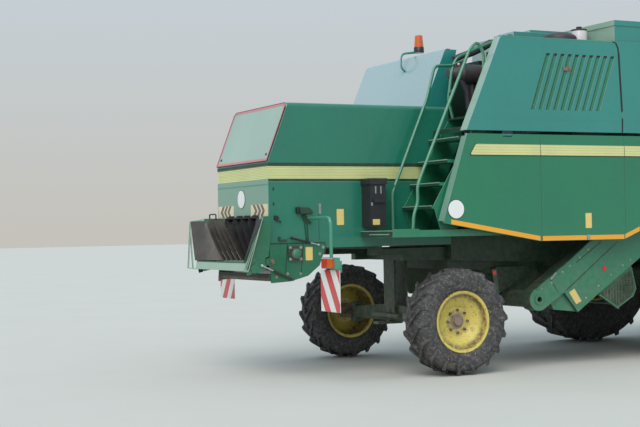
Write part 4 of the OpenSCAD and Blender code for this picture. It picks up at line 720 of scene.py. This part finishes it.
# The right half of the fan, with its guides and teeth, is black: painted shade.
for y0, y1 in RIGHT_FAN:
    vane(shade, y0, y1)
    for z, run in ((1.7, 0.075), (1.735, 0.045)):       # short slanted guides between the tops
        shade.slab([(-1.955, y1 + 0.012, z - 0.03), (-2.032, y1 + 0.012, z - 0.034),
                    (-2.026, y1 + run, z + 0.018), (-1.955, y1 + run, z + 0.02)], (0, 0, 0.004))
for y0, y1 in RIGHT_FAN[:4]:                            # dark teeth along the top
    shade.slab([(-1.956, y1 + 0.07, 1.752), (-1.956, y1 - 0.055, 1.786), (-1.956, y1 - 0.072, 1.752)],
               (-0.06, 0, 0))
left = fan.make("tail_fan_left", VANE, "dark_steel", body="tailboard", smooth=40)
edges.make("tail_fan_edges", VANE_EDGE, "dark_steel", body="tailboard", smooth=0)
right = shade.make("tail_fan_right", BLACK_VANE, "dark_steel", body="tailboard", smooth=40)
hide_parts("tail_vanes")
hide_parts("tail_vanes")
# A black sheet of painted shade behind the fan.
FAN_SHADE_OUTLINE = ((-0.672, 1.304), (0.672, 1.304), (0.69, 1.35), (0.79, 1.762), (-0.79, 1.762), (-0.69, 1.35))
fan_shade.slab([(face_x(z) + 0.0025, y, z) for y, z in FAN_SHADE_OUTLINE], (-0.0025, 0, 0))
fan_shade.make("tail_fan_shade", BLACK_VANE, "dark_steel", body="tailboard", smooth=0)


def strip_across(a, b, w):
    """Half the width w, in the plane of y and z and square to the way from a to b."""
    d = (b - a).normalized()
    return Vector((0, d.z, -d.y)).normalized() * w / 2


for s, tag in SIDES:
    # Sheet from the last vane to the edge of the wing, black as painted shade on the right, the wing, and
    # small plates under and before it
    sheet, wing, skirt, plate, loop, dark = shapes(6)
    rings = []
    for z, x in ((1.302, -1.966), (1.4, -1.992), (1.55, -2.02), (1.69, -2.037), (1.742, -2.03)):
        inner = 0.423 + 0.315 * lean(z) if s > 0 else 0.633 + 0.06 * lean(z)
        wall = 0.69 + (z - 1.235) * 0.2336
        edge = 0.702 + (z - 1.3) * 0.712
        skin = [(x, inner), (rim_x(z) - 0.017, wall - 0.062), (-2.192 + (z - 1.3) * 0.1663, edge)]
        skin += [(a + 0.003, b) for a, b in skin[::-1]]
        rings.append([Vector((a, s * b, z)) for a, b in skin])
    sheet.loft(rings)
    sheet.make("tail_sheet_" + tag, VANE if s > 0 else BLACK_VANE, "dark_steel", body="tailboard", smooth=60)
    wing.slab([(-2.0315, s * 0.816, 1.765), (-2.112, s * 1.018, 1.745),
               (-2.186, s * 0.7, 1.3), (-2.155, s * 0.707, 1.3)], (0.004, 0, 0))
    wing.make("tail_wing_" + tag, GREEN, "green_paint", 0.001, "tailboard")
    skirt.side([(-2.168, 1.236), (-2.15, 1.158), (-2.1, 1.172), (-2.092, 1.232)], s, 0.686, 0.006)
    # On the left the skirt is black: painted shade.
    skirt.make("tail_skirt_" + tag, GREEN if s < 0 else BLACK_VANE, "green_paint", 0.001, "tailboard")
    plate.side([(-2.12, 1.24), (-2.085, 1.176), (-1.968, 1.196), (-1.93, 1.262), (-1.912, 1.33),
                (-2.01, 1.33)], s, 0.703, 0.005)
    plate.make("tail_side_plate_" + tag, GREEN, "green_paint", 0.001, "tailboard")
    # Pale loop outside the wing, pale with painted sky reflection: its edge, its foot and a brace; lines of
    # painted shade beside edge and brace
    top, low = Vector((-2.118, s * 1.024, 1.742)), Vector((-2.213, s * 0.866, 1.214))
    end = Vector((-2.186, s * 0.692, 1.206))
    brace = (Vector((-2.136, s * 0.985, 1.64)), Vector((-2.196, s * 0.76, 1.212)))
    for a, b, w in ((top, low, 0.014), (low, end, 0.012), (*brace, 0.012)):
        u = strip_across(a, b, w)
        loop.slab([a - u, b - u, b + u, a + u], (0.01, 0, 0))
    loop.make("tail_loop_" + tag, GREEN_PALE, "pale_board", 0.001, "tailboard")
    for a, b in ((top, low), brace):
        u = strip_across(a, b, -s * 0.02)
        dark.slab([a + u * 0.75, b + u * 0.75, b + u * 2.2, a + u * 2.2], (0.006, 0, 0))
    dark.make("tail_loop_shade_" + tag, GREEN_DARK, "dark_green", body="tailboard", smooth=0)
grip, rail = shapes(2)
grip.tube([(-1.96, 0.815, 1.76), (-1.96, 0.815, 1.808), (-1.96, 0.8, 1.816), (-1.96, 0.64, 1.816),
           (-1.96, 0.625, 1.808), (-1.96, 0.625, 1.76)], 0.008, 10)
grip.make("tail_grip", BLACK, "black_paint", body="tailboard")
RAIL = rect(-0.69, 1.296, 0.69, 1.287)
rail.slab([(rim_x(z) - 0.0135, y, z) for y, z in RAIL], (-0.002, 0, 0))
rail.make("tail_rail_line", GREEN_DARK, "dark_green", body="tailboard", smooth=0)

# ---- Warning boards: red stripes, and the lamps over them ----
BOARDS = ((-1, 1.0, -2.301), (1, 1.036, 1.718))     # side, z of the middle, where the first stripe lies
HALF_BOARD = 0.2115                                 # half a board's side
PITCH, SLOPE = 0.25, 0.625                          # of the stripes
LAMP_FACE = -1.5822
lens, glow, lip, red = shapes(4)
for s, cz, first in BOARDS:
    y = s * 1.4
    lens.back(rect(y - 0.134, cz + 0.2305, y + 0.134, cz + 0.3325, 0.008), LAMP_FACE + 0.012, 0.012)
    glow.back(rect(s * 1.462 - 0.056, cz + 0.238, s * 1.462 + 0.056, cz + 0.325, 0.006), LAMP_FACE, 0.003)
    lip.back(rect(y - 0.132, cz + 0.326, y + 0.132, cz + 0.3335), LAMP_FACE - 0.0002, 0.002)
    square = rect(s * 1.36 - HALF_BOARD, cz - HALF_BOARD, s * 1.36 + HALF_BOARD, cz + HALF_BOARD)
    for mid in (first, first + PITCH, first + 2 * PITCH):
        strip = cut_band(square, 1, SLOPE * s, mid - PITCH / 4, mid + PITCH / 4)
        if len(strip) > 2:
            red.back(strip, -1.531, 0.0012)
lens.make("tail_lamp_lenses", RED_LENS, None, 0.003)
glow.make("turn_lamp_lenses", AMBER, None, 0.002)
lip.make("lamp_top_lips", CLEAR_LENS, None, smooth=0)
red.make("board_stripes", RED, "board_white", smooth=0)

# ---- Ladder: painted shade on the risers with painted highlights along the nosings, and painted shade along the edges of the platforms over and under it ----
dark, edge_light = shapes(2)
# Painted shade under each nosing, and a pale painted highlight along it.
for k, x in enumerate((-0.303, -0.203, -0.099, 0.047), 1):
    z = 1.609 + k * 0.245
    dark.back(rect(-1.332, z - 0.035, -0.72, z - 0.009), x, DRAWN)
    edge_light.back(rect(-1.332, z - 0.009, -0.72, z + 0.001), x, 0.004)
dark.back(rect(-1.332, 2.811, -0.72, 2.829), 0.3, DRAWN)
dark.back(rect(-1.458, 2.646, -0.732, 2.694), 0.1, DRAWN)
dark.back(rect(-1.398, 1.527, -0.722, 1.59), -0.82, DRAWN)
dark.make("stair_shade", GREEN_DARK, "dark_green", smooth=0)
edge_light.back(rect(-1.33, 1.552, -0.9, 1.562), -0.8216, 0.003)
edge_light.back(rect(-1.398, 1.59, -0.722, 1.5975), -0.82, 0.002)
edge_light.make("stair_edge_highlights", GREEN_PALE, "green_paint", 0.001)

# ---- Right cover: slots with painted shade at their left edges and top ends; painted shade in the gaps, latch, painted highlights along the top edges, and creases of both covers ----
SLOT_LEAN = 0.219 / 0.618


def slot_part(shape, x0, x1, z0, z1, rise0, rise1):
    """A slanted piece of one slot; at its ends it has moved forward by the lean over each rise."""
    a, b = rise0 * SLOT_LEAN, rise1 * SLOT_LEAN
    shape.side([(x0 + a, z0), (x1 + a, z0), (x1 + b, z1), (x0 + b, z1)], -1, 1.49, 0.004)


louvre, shadow, ends, gap, top, crease = shapes(6)
for k in range(10):
    x = 0.871 + 0.0976 * k
    # The dark strip at each slot's left edge and the black cap at its top end are painted shade.
    slot_part(shadow, x + 0.0005, x + 0.016, 2.8825, 3.476, 0, 0.594)
    slot_part(louvre, x + 0.016, x + 0.0525, 2.8825, 3.476, 0, 0.594)
    slot_part(ends, x + 0.001, x + 0.0525, 3.477, 3.4985, 0.594, 0.616)
ends.make("cover_louvre_end_shade", BLACK, "black_plastic", smooth=0)
louvre.make("cover_louvres", GREEN_LEG, "green_paint", 0.001)
shadow.make("cover_louvre_shade", GREEN_DARK, "dark_green", 0.001)
# Black strips in the seam and hinge gaps are painted shade; the pale lines along the top edges are painted
# highlights.
SEAM = [(1.996, 3.6665), (2.04, 3.655), (2.07, 3.6), (2.083, 3.515), (2.113, 2.883)]
for a, b in zip(SEAM, SEAM[1:]):
    gap.side([(a[0] - 0.01, a[1] - 0.004), (b[0] - 0.01, b[1] - 0.004),
              (b[0] + 0.01, b[1] + 0.002), (a[0] + 0.01, a[1] + 0.002)], -1, SHIELD, DRAWN)
gap.side([(2.105, 2.805), (2.101, 2.648), (2.12, 2.648), (2.124, 2.805)], -1, SHIELD, DRAWN)
for s, z_top, x0, x1 in ((-1, 3.662, 0.56, 3.88), (1, 3.182, 0.32, 3.58)):
    gap.side(rect(0.498, 2.6135, 0.622, 2.643), s, SHIELD, 0.005)
    gap.side(rect(3.398, 2.6135, 3.522, 2.643), s, SHIELD, 0.005)
    top.side(rect(x0, z_top - 0.004, x1, z_top + 0.006), s, SHIELD, DRAWN)
    crease.side([(0.118, 2.772), (x1, 2.772), (x1, 2.777), (0.12, 2.777)], s, SHIELD, 0.001)
gap.make("cover_gap_shade", BLACK, "black_plastic", smooth=0)
latch = Shape()
latch.side(rect(1.301, 3.316, 1.409, 3.36, 0.008), -1, SHIELD, 0.012)
latch.turn([(0.013, 0), (0.013, 0.012)], (1.39, -SHIELD - 0.012, 3.338), (0, -1, 0), 16)
latch.make("cover_latch", RUST, "galvanised", 0.002)
top.make("cover_top_highlights", GREEN_LAMP, "green_paint", smooth=0)
crease.make("cover_creases", GREEN_COVER, "green_paint", smooth=0)

# ---- Painted sky reflection: pale skins on the slanted rear of the right cover and on the back of the grain tank ----
skin = Shape()
skin.slab([(0.045, -1.4995, 2.647), (0.045, -1.372, 2.647), (0.4965, -1.372, 3.655),
           (0.4965, -1.4995, 3.655)], (-0.002, 0, 0.0009))
skin.back(rect(-1.449, 3.1, -0.625, 3.855), 2.0699, DRAWN)
skin.back(rect(-1.4575, 3.8605, 1.1075, 3.9195), 2.0619, DRAWN)
skin.make("sky_reflection_skins", GREEN_PALE, "green_paint", smooth=0)

# ---- Deck: box behind the air cleaner, its dome, the bottle, the exhaust tip and the pipes ----
DECK = 3.6005
deck = Shape()
deck.box((1.16, -0.78, DECK), (2.058, -0.47, 3.845))
deck.box((1.08, -0.77, DECK), (1.16, -0.5, 3.812))
deck.make("deck_box", GREEN_COVER, "green_paint", 0.006)
DOME = [(0.204, 0), (0.204, 0.01), (0.2015, 0.012), (0.2015, 0.148), (0.194, 0.17), (0.15, 0.198),
        (0.093, 0.213), (0.02, 0.219)]
BOTTLE_FORM = [(0.0915, 0), (0.0925, 0.24), (0.086, 0.262), (0.05, 0.2715)]
CAP = [(0.033, 0), (0.033, 0.026), (0.028, 0.0305)]
TIP = [(0.0315, 0), (0.0315, 0.14), (0.027, 0.1425)]
for name, profile, foot, n, mat, slot, smooth in (
        ("air_cleaner_dome", DOME, (1.635, -1.0, DECK), 48, PURPLE, "black_plastic", 50),
        ("coolant_bottle", BOTTLE_FORM, (1.928, -0.99, DECK), 40, BOTTLE, "board_white", 50),
        ("bottle_cap", CAP, (1.928, -0.99, DECK + 0.272), 24, BLACK, "black_plastic", 35),
        ("exhaust_tip", TIP, (1.02, -0.58, 3.624), 24, BLACK, "black_paint", 35)):
    Shape().turn(profile, foot, (0, 0, 1), n).make(name, mat, slot, smooth=smooth)
pipe = Shape()
pipe.tube([(0.5, -0.56, 3.52), (0.6, -0.56, 3.56), (0.74, -0.56, 3.61), (0.89, -0.56, 3.675),
           (1.0, -0.56, 3.735)], 0.042, 20)
pipe.tube([(0.48, -0.58, 3.48), (0.52, -0.62, 3.33), (0.62, -0.62, 3.18), (0.64, -0.62, 3.0),
           (0.64, -0.64, 2.816)], 0.034, 16)
pipe.tube([(0.76, -0.64, 3.3), (0.8, -0.66, 3.1), (0.82, -0.66, 2.816)], 0.026, 16)
pipe.make("deck_pipes", PURPLE, "black_plastic", smooth=50)

# ---- Beacons: lens of radius r0 at its foot, r1 at its top and height h ----
for tag, foot, r0, r1, h in (("rear", (0.61, 0.4, 3.78), 0.0575, 0.0455, 0.15),
                             ("cab", (4.25, 0.5, 3.875), 0.0535, 0.0415, 0.079)):
    lens, base = shapes(2)
    lens.turn([(r0, 0), (r1, h - 0.004), (r1 * 0.86, h + 0.0025)], foot, (0, 0, 1), 40)
    lens.make("beacon_lens_" + tag, AMBER, None)
    base.turn([(r0 + 0.004, -0.056), (r0 + 0.004, 0.006), (r0, 0.012)], foot, (0, 0, 1), 40)
    base.make("beacon_base_" + tag, BLACK, "black_plastic")

# ---- Fire extinguisher's case: blank label and catches ----
CASE = 0.9
label, catch = shapes(2)
label.side(rect(-0.775, 1.662, -0.69, 1.722, 0.004), -1, CASE, DRAWN)
label.make("extinguisher_label", STICKER, "yellow_paint")
for x in (-0.742, -0.678):
    catch.side(rect(x, 1.995, x + 0.014, 2.075), -1, CASE, 0.004)
catch.side(rect(-0.795, 1.865, -0.775, 1.9, 0.004), -1, CASE, 0.01)
catch.make("extinguisher_catches", STEEL, "galvanised", 0.001)

# ---- Elevators on the right: seams, blank label, reflectors, bolts, lever and the guard's mesh ----
LEG_HIGH, LEG_LOW, GUARD = 1.2901, 1.2841, 1.25     # faces of the upper leg, the lower leg, the guard
seam, label, dots, heads = shapes(4)
line(seam, -1, LEG_HIGH, 0.0012, (1.59, 1.198), (1.943, 1.426), 0.009)
line(seam, -1, LEG_HIGH, 0.0012, (1.45, 0.898), (2.18, 1.424), 0.008)
line(seam, -1, LEG_HIGH, 0.0012, (1.25, 1.01), (1.33, 0.88), 0.007)
seam.make("elevator_seams", BLACK, "black_plastic", smooth=0)
label.side([(1.49, 0.87), (1.563, 0.91), (1.658, 0.767), (1.585, 0.733)], -1, LEG_LOW, DRAWN)
label.make("label_elevator", STICKER, "yellow_paint")
dots.side(disc((1.989, 1.122), 0.028, 24), -1, LEG_LOW, 0.006)
dots.side(disc((0.682, 1.108), 0.026, 24), -1, 1.0101, 0.006)
dots.make("side_reflectors", RED_LENS, None, 0.001)
for x, z in ((1.11, 0.925), (1.25, 0.985), (1.4, 1.1), (1.5, 1.165), (1.64, 1.255), (1.76, 1.345),
             (1.99, 1.47), (2.15, 1.56), (2.32, 1.66)):
    heads.bolt((x, -LEG_HIGH, z), (0, -1, 0), 0.009, 0.008)
for x, z in ((1.72, 0.8), (1.9, 0.93), (2.08, 1.045), (2.25, 1.15), (2.36, 1.21)):
    heads.bolt((x, -LEG_LOW, z), (0, -1, 0), 0.009, 0.008)
line(heads, -1, LEG_HIGH + 0.0084, 0.01, (1.228, 1.023), (1.302, 1.096), 0.02)
heads.make("elevator_bolts", STEEL, "galvanised", 0.0008)
OUTLINE = [(1.935, 0.838), (2.402, 1.12), (2.458, 0.88), (2.416, 0.8), (2.192, 0.672)]
WIRE, MESH = 0.008, 0.02
mesh, edge = shapes(2)
for count, x, z, first, y in ((26, 1, 0, 1.94, GUARD + 0.0012), (23, 0, 1, 0.68, GUARD + 0.0002)):
    for i in range(count):
        strip = cut_band(OUTLINE, x, z, first + MESH * i, first + MESH * i + WIRE)
        if len(strip) > 2:
            mesh.side(strip, -1, y, 0.002)
mesh.make("guard_mesh", GREEN_DARK, "dark_green", smooth=0)
for a, b in zip(OUTLINE, OUTLINE[1:] + OUTLINE[:1]):
    line(edge, -1, GUARD, 0.002, a, b, 0.014)
edge.make("guard_edge", GREEN, "green_paint", smooth=0)

# ---- Cab: work lamps, mirror glass and seat ----
lens, mirror, housing = shapes(3)
for y in (-0.6, -0.3, 0.3, 0.6):
    at = (5.7751, y, 3.685)
    lens.turn([(0.049, 0), (0.049, 0.003), (0.03, 0.008), (0.01, 0.0095)], at, (1, 0, 0), 40)
    housing.turn([(0.0565, -0.07), (0.0565, 0.001), (0.0565, 0.003), (0.0495, 0.003), (0.0495, -0.001)],
                 at, (1, 0, 0), 40)
for s in (-1, 1):
    mirror.back(rect(s * 1.22 - 0.076, 2.956, s * 1.22 + 0.076, 3.334, 0.014), 5.7349, 0.002)
lens.make("work_lamp_lenses", CLEAR_LENS, None, smooth=50)
housing.make("work_lamp_housings", BLACK, "black_plastic")
mirror.make("mirror_glass", SILVER, "chromed_rod")

SEAT_RINGS = ((2.2965, 0.02), (2.306, 0.0), (2.395, 0.0), (2.418, 0.022), (2.43, 0.07), (2.433, 0.14))
rings = []
for z, inset in SEAT_RINGS:
    outline = rect(4.244 + inset, -0.266 + inset, 4.796 - inset, 0.266 - inset, 0.05)
    rings.append([Vector((a, b, z)) for a, b in outline])
cushion = Shape().loft(rings).make("seat_cushion", FABRIC, "grey_fabric", smooth=60)
TILT_X, TILT_Z = 0.2089, 0.9779                 # of the backrest: sine and cosine of 12 degrees
BACK_RINGS = ((-0.012, 0.022), (0.0, 0.006), (0.03, 0.0), (0.3, -0.004), (0.57, 0.0), (0.605, 0.012),
              (0.622, 0.034))
rings = []
for t, inset in BACK_RINGS:
    middle = Vector((4.308 - TILT_X * t, 0, 2.412 + TILT_Z * t))
    half = 0.07 - 0.02 * t - inset * 0.5
    rings.append([middle + Vector((TILT_Z * a, b, TILT_X * a))
                  for a, b in rect(-half, -0.248 + inset, half, 0.248 - inset, 0.024)])
rest = Shape().loft(rings).make("seat_back", FABRIC, "grey_fabric", smooth=60)

# ---- Wheel nuts: hub, radius of their circle, how many, face of the rim (track + width / 2 - dish) ----
for body, hub, radius, count, face in (("front_wheel", FRONT_HUB, 0.166, 10, 1.31 + 0.4714 / 2 - 0.25),
                                       ("rear_wheel", REAR_HUB, 0.121, 8, 1.27 + 0.2986 / 2 - 0.12)):
    for s, tag in SIDES:
        nuts = Shape()
        for x, z in disc(hub, radius, count):
            nuts.turn([(0.015, 0.008), (0.015, 0.0315), (0.011, 0.0335)], (x, s * face, z), (0, s, 0), 6)
        nuts.make("nuts_" + body + "_" + tag, DARK, "dark_steel", 0.0012, body + "_" + tag)

# ---- Header: guards and blades of the cutter bar ----
guards, blade = shapes(2)
GUARDS = 62
GUARD_RINGS = ((7.128, 0.017, 0.05, 0.0785), (7.185, 0.01, 0.056, 0.079),
               (7.245, 0.0025, 0.072, 0.076))         # x, half the width, lowest and highest z
for i in range(GUARDS):
    y = -2.4 + 4.8 * i / (GUARDS - 1)
    guards.loft([[Vector((x, b, z)) for b, z in rect(y - half, high, y + half, low)]
                 for x, half, low, high in GUARD_RINGS])
    blade.slab([(7.12, y - 0.036, 0.079), (7.192, y - 0.006, 0.079),
                (7.192, y + 0.006, 0.079), (7.12, y + 0.036, 0.079)], (0, 0, 0.003))
guards.make("knife_guards", BLACK, "dark_steel", body="feeder", smooth=0)
blade.make("knife_sections", WORN, "galvanised", body="feeder", smooth=0)

# ---- Camera at the photograph's place, soft light and floor ----
camera = add_object("camera", bpy.data.cameras.new("camera"))
camera.location = (-7.588 + AXLE, -13.359, 1.62 - DROP)
camera.rotation_euler = [math.radians(a) for a in (90.6997, 1.0635, -26.3872)]
camera.data.lens = 74.83
camera.data.sensor_width = 36
camera.data.sensor_fit = "HORIZONTAL"
camera.data.clip_end = 300
bpy.context.scene.camera = camera
bpy.context.scene.view_settings.view_transform = "Standard"

world = bpy.data.worlds.new("studio")
bpy.context.scene.world = world
world.use_nodes = True
tree = world.node_tree
height = add_node(tree, "SeparateXYZ", {0: add_node(tree, "TexCoord").outputs["Generated"]}).outputs[2]
ramp = add_node(tree, "ValToRGB", {0: height})
horizon, sky = ramp.color_ramp.elements
horizon.color = (0.62, 0.6, 0.55, 1)
sky.position = 0.35
sky.color = (0.62, 0.78, 0.92, 1)
tree.links.new(ramp.outputs[0], tree.nodes["Background"].inputs[0])
tree.nodes["Background"].inputs[1].default_value = 0.9

sun = add_object("key", bpy.data.lights.new("key", "SUN"))
sun.data.energy = 2.0
sun.data.color = (1, 0.98, 0.95)
sun.data.angle = math.radians(50)
sun.location = (-14, -16, 22)
sun.rotation_euler = (Vector((0, 0, 1)) - sun.location).to_track_quat("-Z", "Y").to_euler()

sheet = bpy.data.meshes.new("floor")
sheet.from_pydata([(-150, -150, 0), (150, -150, 0), (150, 150, 0), (-150, 150, 0)], [], [(0, 1, 2, 3)])
pale = Finish("pale_floor", (0.62, 0.59, 0.53), rough=0.9)
pale.patches((0.58, 0.55, 0.49), 0.6, 0.3, 0.7, 0.6)
sheet.materials.append(pale.done())
floor = add_object("floor", sheet)
